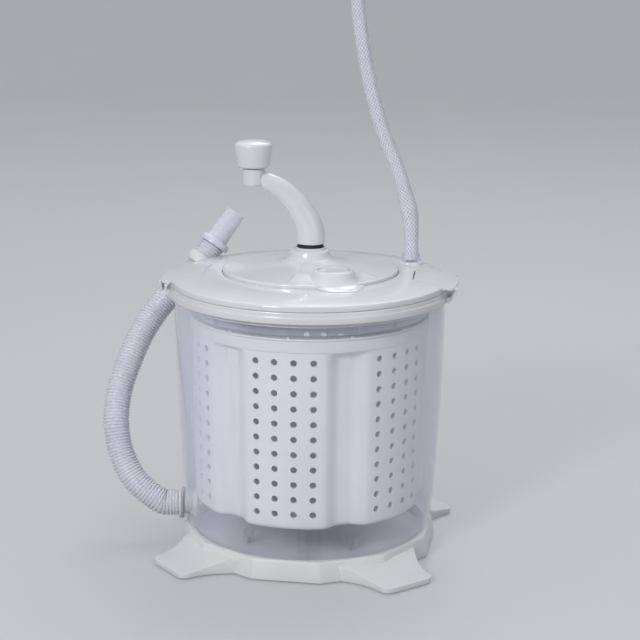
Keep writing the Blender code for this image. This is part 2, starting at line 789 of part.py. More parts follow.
def build_base(shop):
    body = cone_mesh(
        "base",
        BASE_FLOOR_RADIUS,
        BASE_TOP_RADIUS,
        BASE_CLEARANCE,
        BASE_TOP,
        BASE_SIDES,
        phase=math.pi / BASE_SIDES,
    )
    base = shop.add("base", body, "satin_white")
    drop = FOOT_ROOT_TOP - FOOT_TIP_TOP
    lowest = FOOT_TIP_RADIUS - FOOT_TIP_FLAT
    run = lowest - FOOT_SHOULDER_RADIUS
    sweep = (run * run + drop * drop) / (2 * drop)
    reach = FOOT_TIP_HALF_WIDTH + FOOT_FLARE + OVERRUN
    for angle in FOOT_ANGLES:
        turn = Matrix.Rotation(angle, 4, "Z")
        foot = shop.helper(plate_mesh("foot", (foot_outline(),), BASE_CLEARANCE, FOOT_ROOT_TOP, turn))
        axis = frame_along((lowest, 0, FOOT_TIP_TOP + sweep), (0, 1, 0))
        cut(foot, shop.helper(rod_mesh("sweep", sweep, -reach, reach, FOOT_SWEEP_SEGMENTS, turn @ axis)))
        unite(base, foot)
    seat = TUB_FOOT_RADIUS + TUB_SEAT_CLEARANCE
    under = BASE_DECK_TOP - BASE_DECK_THICKNESS
    cut(
        base,
        shop.helper(rod_mesh("seat", seat, BASE_DECK_TOP, up(BASE_TOP), RING_SEGMENTS)),
        shop.helper(rod_mesh("hollow", BASE_SKIRT_INNER_RADIUS, -OVERRUN, under, RING_SEGMENTS)),
    )
    hole = BASE_SCREW_RADIUS + FIT
    depth = BASE_DECK_THICKNESS + OVERRUN
    cut(base, shop.helper(rods_mesh("screw_holes", hole, -OVERRUN, depth, SMALL_SEGMENTS, BASE_SCREW_FRAMES)))
    pocket = PAD_THICKNESS + FIT
    cut(base, shop.helper(rods_mesh("pockets", PAD_RADIUS + FIT, -OVERRUN, pocket, ROUND_SEGMENTS, PAD_FRAMES)))


def build_base_fittings(shop):
    pad = rod_mesh("foot_pad", PAD_RADIUS, 0.0, PAD_THICKNESS)
    shop.add_copies("foot_pad", pad, "grey_rubber", PAD_FRAMES)
    screw = screw_mesh(
        "base_screw", BASE_SCREW_RADIUS, BASE_SCREW_HEAD_RADIUS, BASE_SCREW_HEAD_HEIGHT, BASE_SCREW_LENGTH
    )
    shop.add_copies("base_screw", screw, "steel", BASE_SCREW_FRAMES)


# Clear tub and its pivot pin

PIVOT_BOSS_TOP = TUB_FLOOR_TOP + PIVOT_BOSS_HEIGHT


def tub_profile():
    """From the middle of the floor up the inner wall, over the rim and down the outer wall."""
    shoulder = BASE_TOP + FIT
    outer = [
        (TUB_TOP_RADIUS * radius_share, shoulder + (TUB_TOP - shoulder) * height_share)
        for height_share, radius_share in TUB_SHAPE_SHARES
    ]
    inner = [(radius - TUB_WALL, height) for radius, height in reversed(outer)]
    inner[0] = (inner[0][0], shoulder + TUB_WALL)
    foot_inner = TUB_FOOT_RADIUS - TUB_WALL
    floor = [
        (0.0, TUB_FLOOR_TOP),
        (foot_inner - TUB_BOTTOM_CORNER, TUB_FLOOR_TOP),
        (foot_inner, TUB_FLOOR_TOP + TUB_BOTTOM_CORNER),
        (foot_inner, shoulder + TUB_WALL),
    ]
    foot = [
        (TUB_FOOT_RADIUS, shoulder),
        (TUB_FOOT_RADIUS, TUB_BOTTOM + TUB_BOTTOM_CORNER),
        (TUB_FOOT_RADIUS - TUB_BOTTOM_CORNER, TUB_BOTTOM),
        (0.0, TUB_BOTTOM),
    ]
    return floor + inner + outer + foot


def drain_frame():
    """On the tub's axis: Z runs outwards along the drain."""
    return frame_along((0, 0, DRAIN_HEIGHT), polar(1.0, DRAIN_AZIMUTH))


def build_tub(shop):
    tub = turned(shop, "tub", tub_profile(), "clear_tub", closed=False)
    middle = TUB_BOTTOM + TUB_WALL / 2
    boss_top_radius = PIVOT_BOSS_RADIUS - TUB_WALL
    boss = cone_mesh("boss", PIVOT_BOSS_RADIUS, boss_top_radius, middle, PIVOT_BOSS_TOP, ROUND_SEGMENTS)
    boss_top = TUB_FLOOR_TOP + TUB_BOSS_HEIGHT
    places = [Matrix.Translation(polar(BASE_SCREW_PLACE_RADIUS, angle)) for angle in FOOT_ANGLES]
    bosses = rods_mesh("bosses", TUB_BOSS_RADIUS, middle, boss_top, SMALL_SEGMENTS, places)
    drain = drain_frame()
    pad = rod_mesh("pad", DRAIN_PAD_RADIUS, DRAIN_PAD_INNER, DRAIN_PAD_OUTER, matrix=drain)
    unite(tub, shop.helper(boss), shop.helper(bosses), shop.helper(pad))
    pin_hole = PIVOT_PIN_RADIUS + FIT
    pin_bottom = PIVOT_BOSS_TOP - PIVOT_PIN_SINK - FIT
    screw_hole = BASE_SCREW_RADIUS + FIT
    spout_hole = DRAIN_BORE_RADIUS + DRAIN_SPOUT_WALL + FIT
    reach = BASE_SCREW_LENGTH + OVERRUN
    cut(
        tub,
        shop.helper(rod_mesh("pin_hole", pin_hole, pin_bottom, up(PIVOT_BOSS_TOP))),
        shop.helper(rods_mesh("holes", screw_hole, 0.0, reach, SMALL_SEGMENTS, BASE_SCREW_FRAMES)),
        shop.helper(rod_mesh("port", spout_hole, down(DRAIN_PAD_INNER), up(DRAIN_PAD_OUTER), matrix=drain)),
    )
    pin = rod_mesh("pivot_pin", PIVOT_PIN_RADIUS, PIVOT_BOSS_TOP - PIVOT_PIN_SINK, PIVOT_PIN_TOP)
    shop.add("pivot_pin", pin, "steel")


# Drain spout with its gasket and nut

GASKET_FACE = DRAIN_PAD_OUTER + FIT
FLANGE_FACE = GASKET_FACE + DRAIN_GASKET_THICKNESS + FIT
HOSE_FACE = FLANGE_FACE + DRAIN_FLANGE_THICKNESS + FIT


def build_drain(shop):
    tube = DRAIN_BORE_RADIUS + DRAIN_SPOUT_WALL
    inside = DRAIN_PAD_INNER - FIT - DRAIN_NUT_HEIGHT
    flange_end = FLANGE_FACE + DRAIN_FLANGE_THICKNESS
    frame = drain_frame()
    spout_mesh = rod_mesh("drain_spout", tube, inside, flange_end, matrix=frame)
    spout = shop.add("drain_spout", spout_mesh, "satin_white")
    flange = rod_mesh("flange", DRAIN_FLANGE_RADIUS, FLANGE_FACE, flange_end, matrix=frame)
    bore = rod_mesh("bore", DRAIN_BORE_RADIUS, down(inside), up(flange_end), matrix=frame)
    unite(spout, shop.helper(flange))
    cut(spout, shop.helper(bore))
    hole = tube + FIT
    gasket_end = GASKET_FACE + DRAIN_GASKET_THICKNESS
    gasket = sleeve_mesh("drain_gasket", hole, DRAIN_FLANGE_RADIUS, GASKET_FACE, gasket_end, frame=frame)
    shop.add("drain_gasket", gasket, "grey_rubber")
    nut_top = DRAIN_PAD_INNER - FIT
    half_side = math.pi / DRAIN_NUT_SIDES
    nut_mesh = rod_mesh("drain_nut", DRAIN_NUT_RADIUS, inside, nut_top, DRAIN_NUT_SIDES, frame, half_side)
    nut = shop.add("drain_nut", nut_mesh, "satin_white")
    cut(nut, shop.helper(rod_mesh("nut_bore", hole, down(inside), up(nut_top), matrix=frame)))


# Perforated basket, its bush and its cover


def basket_angles():
    """The wall's corners: along each panel, and across each valley."""
    shares = (-1.0, -0.6, -0.25, 0.25, 0.6, 1.0)
    angles = []
    for panel in range(BASKET_PANELS):
        centre = BASKET_PANEL_START + FULL_TURN * panel / BASKET_PANELS
        half = PANEL_FACETS / 2
        angles += [centre + PANEL_FACET_ANGLE * (step - half) for step in range(PANEL_FACETS + 1)]
        valley = centre + math.pi / BASKET_PANELS
        angles += [valley + VALLEY_HALF_ANGLE * share for share in shares]
    return angles


def basket_ring(radius, height, valley_share, wall=0.0):
    """A ring of the wall, drawn in at each valley."""
    points = []
    for angle in basket_angles():
        offset = (angle - BASKET_PANEL_START + math.pi / BASKET_PANELS) % (FULL_TURN / BASKET_PANELS)
        offset = min(offset, FULL_TURN / BASKET_PANELS - offset)
        drawn = 0.0
        if offset < VALLEY_HALF_ANGLE:
            drawn = VALLEY_DEPTH * valley_share * (1 + math.cos(math.pi * offset / VALLEY_HALF_ANGLE)) / 2
        points.append(polar(radius - drawn - wall, angle, height))
    return points


def build_basket(shop):
    band = BASKET_TOP - BASKET_RIM_HEIGHT
    corner = BASKET_BOTTOM + BASKET_CORNER
    fade = band - VALLEY_FADE
    levels = (
        (BASKET_BOTTOM_RADIUS - BASKET_CORNER, BASKET_BOTTOM, 1.0),
        (BASKET_BOTTOM_RADIUS, corner, 1.0),
        (BASKET_RADIUS, fade, 1.0),
        (BASKET_RADIUS, (fade + band) / 2, 0.55),
        (BASKET_RADIUS, band, 0.0),
    )
    rings = [basket_ring(*level) for level in levels]
    rings.append(basket_ring(BASKET_RIM_RADIUS, band + BASKET_WALL / 2, 0.0))
    rings.append(basket_ring(BASKET_RIM_RADIUS, BASKET_TOP, 0.0))
    rings.append(basket_ring(BASKET_RIM_RADIUS, BASKET_TOP, 0.0, BASKET_WALL))
    rings.append(basket_ring(BASKET_RIM_RADIUS, band + BASKET_WALL, 0.0, BASKET_WALL))
    rings += [basket_ring(*level, BASKET_WALL) for level in reversed(levels[2:])]
    rings.append(basket_ring(BASKET_BOTTOM_RADIUS, corner, 1.0, BASKET_WALL))
    floor_radius = BASKET_BOTTOM_RADIUS - BASKET_CORNER
    rings.append(basket_ring(floor_radius, BASKET_BOTTOM + BASKET_WALL, 1.0, BASKET_WALL))
    basket = shop.add("basket", loft_mesh("basket", rings), "basket_white")
    hub_bottom = BASKET_BOTTOM - HUB_DROP
    hub_top = BASKET_BOTTOM + BASKET_WALL + HUB_RISE
    unite(basket, shop.helper(rod_mesh("hub", HUB_RADIUS, hub_bottom, hub_top)))
    places = [
        Matrix.Translation(polar(FLOOR_HOLE_PLACE_RADIUS, FULL_TURN * step / FLOOR_HOLE_COUNT))
        for step in range(FLOOR_HOLE_COUNT)
    ]
    floor_top = up(BASKET_BOTTOM + BASKET_WALL)
    cut(
        basket,
        shop.helper(
            rods_mesh("floor_holes", FLOOR_HOLE_RADIUS, down(BASKET_BOTTOM), floor_top, SMALL_SEGMENTS, places)
        ),
        shop.helper(rod_mesh("bush_bore", BUSH_RADIUS + FIT, down(hub_bottom), BASKET_BOTTOM)),
    )
    bush = shop.add(
        "basket_bush", rod_mesh("basket_bush", BUSH_RADIUS, hub_bottom, BASKET_BOTTOM - FIT), "bearing_bronze"
    )
    cut(bush, shop.helper(rod_mesh("bore", PIVOT_PIN_RADIUS + FIT, down(hub_bottom), PIVOT_PIN_TOP + FIT)))


COVER_BOTTOM = BASKET_TOP + FIT
COVER_TOP = COVER_BOTTOM + COVER_THICKNESS
COVER_RADIUS = BASKET_RIM_RADIUS - FIT


def build_basket_cover(shop):
    inner = COVER_RADIUS - COVER_RIM_WIDTH
    spigot = BASKET_RIM_RADIUS - BASKET_WALL - RUNNING_GAP
    profile = (
        (inner, COVER_TOP),
        (COVER_RADIUS, COVER_TOP),
        (COVER_RADIUS, COVER_BOTTOM),
        (spigot, COVER_BOTTOM),
        (spigot, COVER_BOTTOM - COVER_SPIGOT_DEPTH),
        (spigot - COVER_SPIGOT_WALL, COVER_BOTTOM - COVER_SPIGOT_DEPTH),
        (spigot - COVER_SPIGOT_WALL, COVER_BOTTOM),
        (inner, COVER_BOTTOM),
    )
    cover = turned(shop, "basket_cover", profile, "basket_white")
    hub_top = COVER_BOTTOM + COVER_HUB_RISE
    hub_bottom = COVER_BOTTOM - COVER_HUB_DROP
    unite(cover, shop.helper(rod_mesh("hub", COVER_HUB_RADIUS, hub_bottom, hub_top)))
    reach = inner + COVER_RIM_WIDTH / 2
    spoke = Vector((reach / 2, 0, (COVER_BOTTOM + COVER_TOP) / 2))
    for step in range(COVER_SPOKES):
        turn = Matrix.Rotation(FULL_TURN * step / COVER_SPOKES, 4, "Z")
        size = (reach, COVER_SPOKE_WIDTH, COVER_THICKNESS - FIT)
        unite(cover, shop.helper(boxes_mesh("spoke", size, (turn @ Matrix.Translation(spoke),))))
    tab = Vector((COVER_RADIUS - COVER_TAB_WIDTH, 0, COVER_TOP))
    turns = [Matrix.Rotation(FULL_TURN * step / COVER_TAB_COUNT, 4, "Z") for step in range(COVER_TAB_COUNT)]
    size = (COVER_TAB_WIDTH, COVER_TAB_WIDTH, 2 * COVER_TAB_HEIGHT)
    unite(cover, shop.helper(boxes_mesh("tabs", size, [turn @ Matrix.Translation(tab) for turn in turns])))
    socket = DOG_RADIUS + SOCKET_CLEARANCE
    cut(cover, shop.helper(rod_mesh("socket", socket, hub_top - SOCKET_DEPTH, up(hub_top), DOG_SIDES)))


# Collar on the tub's rim


def arc_plate_outline(inner, outer, half_angle, steps):
    """A curved plate's outline: its outer arc, then its inner arc back."""
    turns = [half_angle * (2 * step / steps - 1) for step in range(steps + 1)]
    outer_arc = [polar(outer, turn).to_2d() for turn in turns]
    return outer_arc + [polar(inner, turn).to_2d() for turn in reversed(turns)]


def build_collar(shop):
    upper = COLLAR_RADIUS - COLLAR_STEP_DEPTH
    groove_outer = TUB_TOP_RADIUS + 2 * FIT
    groove_inner = TUB_TOP_RADIUS - TUB_WALL - 2 * FIT
    profile = (
        (COLLAR_INNER_RADIUS, COLLAR_TOP),
        (upper - COLLAR_EDGE, COLLAR_TOP),
        (upper, COLLAR_TOP - COLLAR_EDGE),
        (upper, COLLAR_STEP),
        (COLLAR_RADIUS, COLLAR_STEP - COLLAR_EDGE),
        (COLLAR_RADIUS, COLLAR_BOTTOM),
        (groove_outer, COLLAR_BOTTOM),
        (groove_outer, TUB_TOP + FIT),
        (groove_inner, TUB_TOP + FIT),
        (groove_inner, COLLAR_INNER_BOTTOM),
        (COLLAR_INNER_RADIUS, COLLAR_INNER_BOTTOM),
    )
    collar = turned(shop, "collar", profile, "gloss_white")
    root = COLLAR_RADIUS - COLLAR_STEP_DEPTH - COLLAR_EDGE
    outline = arc_plate_outline(root, COLLAR_RADIUS + LUG_REACH, LUG_HALF_ANGLE, LUG_STEPS)
    low = COLLAR_BOTTOM + COLLAR_EDGE / 2
    for azimuth in LATCH_AZIMUTHS.values():
        turn = Matrix.Rotation(azimuth, 4, "Z")
        unite(collar, shop.helper(plate_mesh("lug", (outline,), low, low + LUG_HEIGHT, turn)))


# Lid with its gasket and splash ring

LID_SKIRT_BOTTOM = COLLAR_TOP + FIT
LID_UNDERSIDE = LID_SKIRT_BOTTOM + GASKET_THICKNESS + FIT
LID_RECESS_RADIUS = GEAR_COVER_RADIUS + GEAR_COVER_GAP
LID_RING_RADIUS = COLLAR_INNER_RADIUS - RUNNING_GAP
LID_FALL = (LID_SHOULDER_TOP - LID_EDGE_TOP) / (LID_RADIUS - LID_EDGE - LID_RECESS_RADIUS)
RECESS_BOTTOM = RECESS_FLOOR - LID_WALL
OUTPUT_BORE = OUTPUT_BUSH_RADIUS + FIT
GEAR_BOTTOM = WELL_FLOOR_TOP + GEAR_BOTTOM_GAP
GEAR_TOP = GEAR_BOTTOM + GEAR_HEIGHT
GEAR_CENTRES = GEAR_MODULE * (SUN_TEETH + PLANET_TEETH) / 2
PLANET_FRAMES = [
    Matrix.Translation(polar(GEAR_CENTRES, FULL_TURN * step / PLANET_COUNT)) for step in range(PLANET_COUNT)
]
PORT_FRAME = Matrix.Translation(polar(PORT_PLACE_RADIUS, PORT_AZIMUTH))
COVER_SCREW_ANGLES = [
    COVER_SCREW_FIRST_ANGLE + FULL_TURN * step / COVER_SCREW_COUNT for step in range(COVER_SCREW_COUNT)
]
COVER_SCREW_FRAMES = [
    Matrix.Translation(polar(COVER_SCREW_PLACE_RADIUS, angle, RECESS_BOTTOM - FIT))
    for angle in COVER_SCREW_ANGLES
]
INLET_FRAME = Matrix.Translation(polar(INLET_PLACE_RADIUS, INLET_AZIMUTH))


def lid_top(radius):
    """The height of the lid's sloping plate at a distance from the axis."""
    return LID_SHOULDER_TOP - LID_FALL * (radius - LID_RECESS_RADIUS)


def lid_profile():
    ring_inner = LID_RING_RADIUS - LID_RING_WALL
    ring_bottom = LID_UNDERSIDE - LID_RING_DEPTH
    well_bottom = WELL_FLOOR_TOP - WELL_FLOOR_THICKNESS
    boss = OUTPUT_BORE + OUTPUT_BOSS_WALL
    outside = [
        (LID_RECESS_RADIUS, LID_SHOULDER_TOP),
        (LID_RADIUS - LID_EDGE, LID_EDGE_TOP),
        (LID_RADIUS, LID_EDGE_TOP - LID_EDGE),
        (LID_RADIUS, LID_SKIRT_BOTTOM),
        (LID_RADIUS - LID_SKIRT, LID_SKIRT_BOTTOM),
        (LID_RADIUS - LID_SKIRT, LID_UNDERSIDE),
        (LID_RING_RADIUS, LID_UNDERSIDE),
        (LID_RING_RADIUS, ring_bottom),
        (ring_inner, ring_bottom),
        (ring_inner, lid_top(ring_inner) - LID_WALL),
        (LID_RECESS_RADIUS + LID_WALL, RECESS_BOTTOM),
    ]
    inside = [
        (WELL_RADIUS + WELL_WALL, RECESS_BOTTOM),
        (WELL_RADIUS + WELL_WALL, well_bottom),
        (boss, well_bottom),
        (boss, OUTPUT_BOSS_BOTTOM),
        (OUTPUT_BORE, OUTPUT_BOSS_BOTTOM),
        (OUTPUT_BORE, WELL_FLOOR_TOP),
        (WELL_RADIUS, WELL_FLOOR_TOP),
        (WELL_RADIUS, RECESS_FLOOR),
        (LID_RECESS_RADIUS, RECESS_FLOOR),
    ]
    return outside + inside


def latch_frame(azimuth):
    """At the hinge axis: X runs outwards down the lid's slope, Y along the axis."""
    place = polar(LATCH_HINGE_RADIUS, azimuth, lid_top(LATCH_HINGE_RADIUS) - LATCH_THICKNESS)
    return placed(place, azimuth, math.atan(LID_FALL))


def latch_outline(clearance=0.0, overrun=0.0):
    side = [
        (LATCH_LENGTH * length_share, LATCH_HALF_WIDTH * width_share + clearance)
        for length_share, width_share in LATCH_OUTLINE_SHARES
    ]
    if overrun:
        side.append((LATCH_LENGTH + overrun, side[-1][1]))
    else:
        side[0] = (side[0][0], side[0][1] - LATCH_ROOT_EASE)
    return [(x, -y) for x, y in side] + list(reversed(side))


def build_lid(shop):
    lid = turned(shop, "lid", lid_profile(), "gloss_white")
    middle = LID_EDGE_TOP + LID_EDGE / 2
    seat = arc_plate_outline(
        LATCH_SEAT_INNER_RADIUS, LATCH_SEAT_OUTER_RADIUS, LATCH_SEAT_HALF_ANGLE, LATCH_SEAT_STEPS
    )
    for azimuth in LATCH_AZIMUTHS.values():
        turn = Matrix.Rotation(azimuth, 4, "Z")
        unite(lid, shop.helper(plate_mesh("latch_seat", (seat,), LID_UNDERSIDE, middle, turn)))
    boss = rod_mesh("inlet_boss", INLET_BOSS_RADIUS, middle, INLET_BOSS_TOP, matrix=INLET_FRAME)
    unite(lid, shop.helper(boss))
    slot_low = -LATCH_BARREL_RADIUS - LATCH_SLOT_WIDTH
    slot_high = LATCH_BARREL_RADIUS + RUNNING_GAP
    slot_width = 2 * (LATCH_HALF_WIDTH * LATCH_OUTLINE_SHARES[0][1] + LATCH_CLEARANCE + FIT)
    slot_floor = LATCH_THICKNESS - LATCH_SLOT_DEPTH
    slot_top = up(LATCH_THICKNESS)
    size = (slot_high - slot_low, slot_width, slot_top - slot_floor)
    centre = Vector(((slot_low + slot_high) / 2, 0, (slot_floor + slot_top) / 2))
    reach = LATCH_PIN_HALF_LENGTH + FIT
    pocket = latch_outline(LATCH_CLEARANCE, OVERRUN)
    along = frame_along((0, 0, 0), (0, 1, 0))
    for azimuth in LATCH_AZIMUTHS.values():
        frame = latch_frame(azimuth)
        cut(
            lid,
            shop.helper(plate_mesh("pocket", (pocket,), -FIT, LATCH_SLOT_DEPTH, frame)),
            shop.helper(boxes_mesh("slot", size, (frame @ Matrix.Translation(centre),))),
            shop.helper(
                rod_mesh("pin_hole", LATCH_PIN_RADIUS + FIT, -reach, reach, SMALL_SEGMENTS, frame @ along)
            ),
        )
    pin_floor = WELL_FLOOR_TOP - PLANET_PIN_SINK - FIT
    screw_hole = COVER_SCREW_RADIUS + FIT
    low = down(LID_UNDERSIDE)
    cut(
        lid,
        shop.helper(
            rods_mesh("pin_holes", PLANET_PIN_RADIUS + FIT, pin_floor, GEAR_TOP, SMALL_SEGMENTS, PLANET_FRAMES)
        ),
        shop.helper(
            rods_mesh(
                "screw_holes", screw_hole, -OVERRUN, COVER_SCREW_LENGTH, SMALL_SEGMENTS, COVER_SCREW_FRAMES
            )
        ),
        shop.helper(rod_mesh("filler", PORT_BORE_RADIUS, low, up(RECESS_FLOOR), matrix=PORT_FRAME)),
        shop.helper(rod_mesh("inlet", INLET_TUBE_RADIUS + FIT, low, up(INLET_BOSS_TOP), matrix=INLET_FRAME)),
    )
    outer = LID_RADIUS - LID_SKIRT - RUNNING_GAP
    gasket_top = LID_UNDERSIDE - FIT
    gasket = sleeve_mesh(
        "lid_gasket", outer - GASKET_WIDTH, outer, gasket_top - GASKET_THICKNESS, gasket_top, RING_SEGMENTS
    )
    shop.add("lid_gasket", gasket, "grey_rubber")


def build_splash_ring(shop):
    outer = LID_RING_RADIUS - LID_RING_WALL - FIT
    top = LID_UNDERSIDE - FIT
    profile = (
        (outer - SPLASH_WALL, top),
        (outer, top),
        (outer, SPLASH_KNEE),
        (SPLASH_BOTTOM_RADIUS, SPLASH_BOTTOM),
        (SPLASH_BOTTOM_RADIUS - SPLASH_WALL, SPLASH_BOTTOM),
        (outer - SPLASH_WALL, SPLASH_KNEE),
    )
    ring = turned(shop, "splash_ring", profile, "clear_ring")
    outline = (
        (outer - SPLASH_WALL / 2, SPLASH_KNEE),
        (SPLASH_BOTTOM_RADIUS - SPLASH_WALL / 2, SPLASH_BOTTOM + SPLASH_WALL / 2),
        (outer - FIT, SPLASH_BOTTOM + SPLASH_WALL),
        (outer - FIT, SPLASH_KNEE),
    )
    half = SPLASH_RIB_WIDTH / 2
    for centre in SPLASH_RIB_CENTRES:
        for side in (-1, 1):
            turn = Matrix.Rotation(centre + side * SPLASH_RIB_HALF_SPACING, 4, "Z")
            frame = turn @ Matrix.Rotation(math.pi / 2, 4, "X")
            unite(ring, shop.helper(plate_mesh("rib", (outline,), -half, half, frame)))


# Gearbox cover with its screws, and the filler port with its cap

GEAR_COVER_BOTTOM = RECESS_FLOOR + FIT


def cover_profile():
    rise = HUB_CONE_TOP - GEAR_COVER_EDGE_TOP
    top = [
        (GEAR_COVER_RADIUS * radius_share, GEAR_COVER_EDGE_TOP + rise * height_share)
        for radius_share, height_share in reversed(HUB_CONE_SHARES)
    ]
    edge_radius, edge_height = top.pop()
    slope = top[-1]
    bore = SHAFT_BUSH_RADIUS + FIT
    return [
        (bore, HUB_CONE_TOP),
        *top,
        (edge_radius - GEAR_COVER_EDGE, edge_height),
        (edge_radius, edge_height - GEAR_COVER_EDGE),
        (edge_radius, GEAR_COVER_BOTTOM),
        (edge_radius - GEAR_COVER_WALL, GEAR_COVER_BOTTOM),
        (edge_radius - GEAR_COVER_WALL, edge_height - GEAR_COVER_WALL),
        (slope[0], slope[1] - GEAR_COVER_WALL),
        (top[-2][0], HUB_SPACE_TOP),
        (bore, HUB_SPACE_TOP),
    ]


def build_gearbox_cover(shop):
    cover = turned(shop, "gearbox_cover", cover_profile(), "gloss_white")
    port_low = GEAR_COVER_EDGE_TOP - GEAR_COVER_WALL / 2
    port = cone_mesh("port", PORT_BASE_RADIUS, PORT_TOP_RADIUS, port_low, PORT_TOP, RING_SEGMENTS, PORT_FRAME)
    sleeve = PORT_BORE_RADIUS + GEAR_COVER_WALL
    neck = rod_mesh("neck", sleeve, GEAR_COVER_BOTTOM, GEAR_COVER_EDGE_TOP, matrix=PORT_FRAME)
    places = [Matrix.Translation(polar(COVER_SCREW_PLACE_RADIUS, angle)) for angle in COVER_SCREW_ANGLES]
    top = GEAR_COVER_EDGE_TOP
    bosses = rods_mesh("bosses", COVER_BOSS_RADIUS, GEAR_COVER_BOTTOM, top, SMALL_SEGMENTS, places)
    web_size = (PORT_WEB_OUTER - PORT_WEB_INNER, 2 * PORT_WEB_HALF_WIDTH, PORT_WEB_TOP - PORT_WEB_BOTTOM)
    web_centre = Vector(((PORT_WEB_OUTER + PORT_WEB_INNER) / 2, 0, (PORT_WEB_TOP + PORT_WEB_BOTTOM) / 2))
    web_frame = Matrix.Rotation(PORT_AZIMUTH, 4, "Z") @ Matrix.Translation(web_centre)
    unite(
        cover,
        shop.helper(port),
        shop.helper(neck),
        shop.helper(bosses),
        shop.helper(boxes_mesh("web", web_size, (web_frame,))),
    )
    seat = PORT_TOP - CAP_THICKNESS - CAP_GASKET_HEIGHT - 2 * FIT
    depth = COVER_SCREW_LENGTH + FIT
    screw_hole = COVER_SCREW_RADIUS + FIT
    cut(
        cover,
        shop.helper(
            rod_mesh("bore", PORT_BORE_RADIUS, down(GEAR_COVER_BOTTOM), up(PORT_TOP), matrix=PORT_FRAME)
        ),
        shop.helper(rod_mesh("seat", PORT_SEAT_RADIUS, seat, up(PORT_TOP), matrix=PORT_FRAME)),
        shop.helper(rods_mesh("holes", screw_hole, 0.0, depth, SMALL_SEGMENTS, COVER_SCREW_FRAMES)),
    )
    screw = screw_mesh(
        "cover_screw", COVER_SCREW_RADIUS, COVER_SCREW_HEAD_RADIUS, COVER_SCREW_HEAD_HEIGHT, COVER_SCREW_LENGTH
    )
    shop.add_copies("cover_screw", screw, "steel", COVER_SCREW_FRAMES)


def build_filler_cap(shop):
    radius = PORT_SEAT_RADIUS - FIT
    low = PORT_TOP - CAP_THICKNESS
    profile = (
        (0.0, PORT_TOP),
        (radius, PORT_TOP),
        (radius, low),
        (CAP_PLUG_RADIUS, low),
        (CAP_PLUG_RADIUS, low - CAP_PLUG_DEPTH),
        (CAP_PLUG_RADIUS - CAP_PLUG_WALL, low - CAP_PLUG_DEPTH),
        (CAP_PLUG_RADIUS - CAP_PLUG_WALL, low),
        (0.0, low),
    )
    centre = PORT_FRAME.to_translation()
    cap = turned(shop, "filler_cap", profile, "gloss_white", ROUND_SEGMENTS, closed=False)
    cap.location = centre
    finger = Matrix.Translation(centre + polar(radius * CAP_FINGER_SHARE, CAP_FINGER_AZIMUTH))
    cut(
        cap,
        shop.helper(
            rod_mesh("finger", CAP_FINGER_RADIUS, PORT_TOP - CAP_FINGER_DEPTH, up(PORT_TOP), matrix=finger)
        ),
    )
    top = low - FIT
    gasket = sleeve_mesh("cap_gasket", CAP_PLUG_RADIUS + FIT, radius, top - CAP_GASKET_HEIGHT, top)
    shop.add("cap_gasket", gasket, "grey_rubber").location = centre


# Gear train between the crank and the basket


def gear_outline(teeth, tip, root, phase):
    """Four points a tooth, the first tooth centred on the phase."""
    pitch = FULL_TURN / teeth
    corners = (
        (root, -TOOTH_ROOT_SHARE),
        (tip, -TOOTH_TIP_SHARE),
        (tip, TOOTH_TIP_SHARE),
        (root, TOOTH_ROOT_SHARE),
    )
    return [
        polar(radius, phase + pitch * (step + pitch_share)).to_2d()
        for step in range(teeth)
        for radius, pitch_share in corners
    ]


def toothed_wheel(teeth, phase):
    pitch_radius = GEAR_MODULE * teeth / 2
    tip = pitch_radius + GEAR_MODULE * ADDENDUM_SHARE
    root = pitch_radius - GEAR_MODULE * DEDENDUM_SHARE
    return gear_outline(teeth, tip, root, phase)


RING_WEB_BOTTOM = GEAR_TOP + RING_WEB_GAP
RING_WEB_TOP = RING_WEB_BOTTOM + RING_WEB_THICKNESS
RING_HUB_TOP = HUB_SPACE_TOP - RUNNING_GAP
SHAFT_BOTTOM = RING_HUB_TOP - RING_SOCKET_DEPTH + FIT
SHAFT_TOP = CRANK_BOTTOM + CRANK_SOCKET_DEPTH - FIT
SHAFT_SCREW_SEAT = RING_WEB_BOTTOM + SHAFT_SCREW_HEAD_HEIGHT


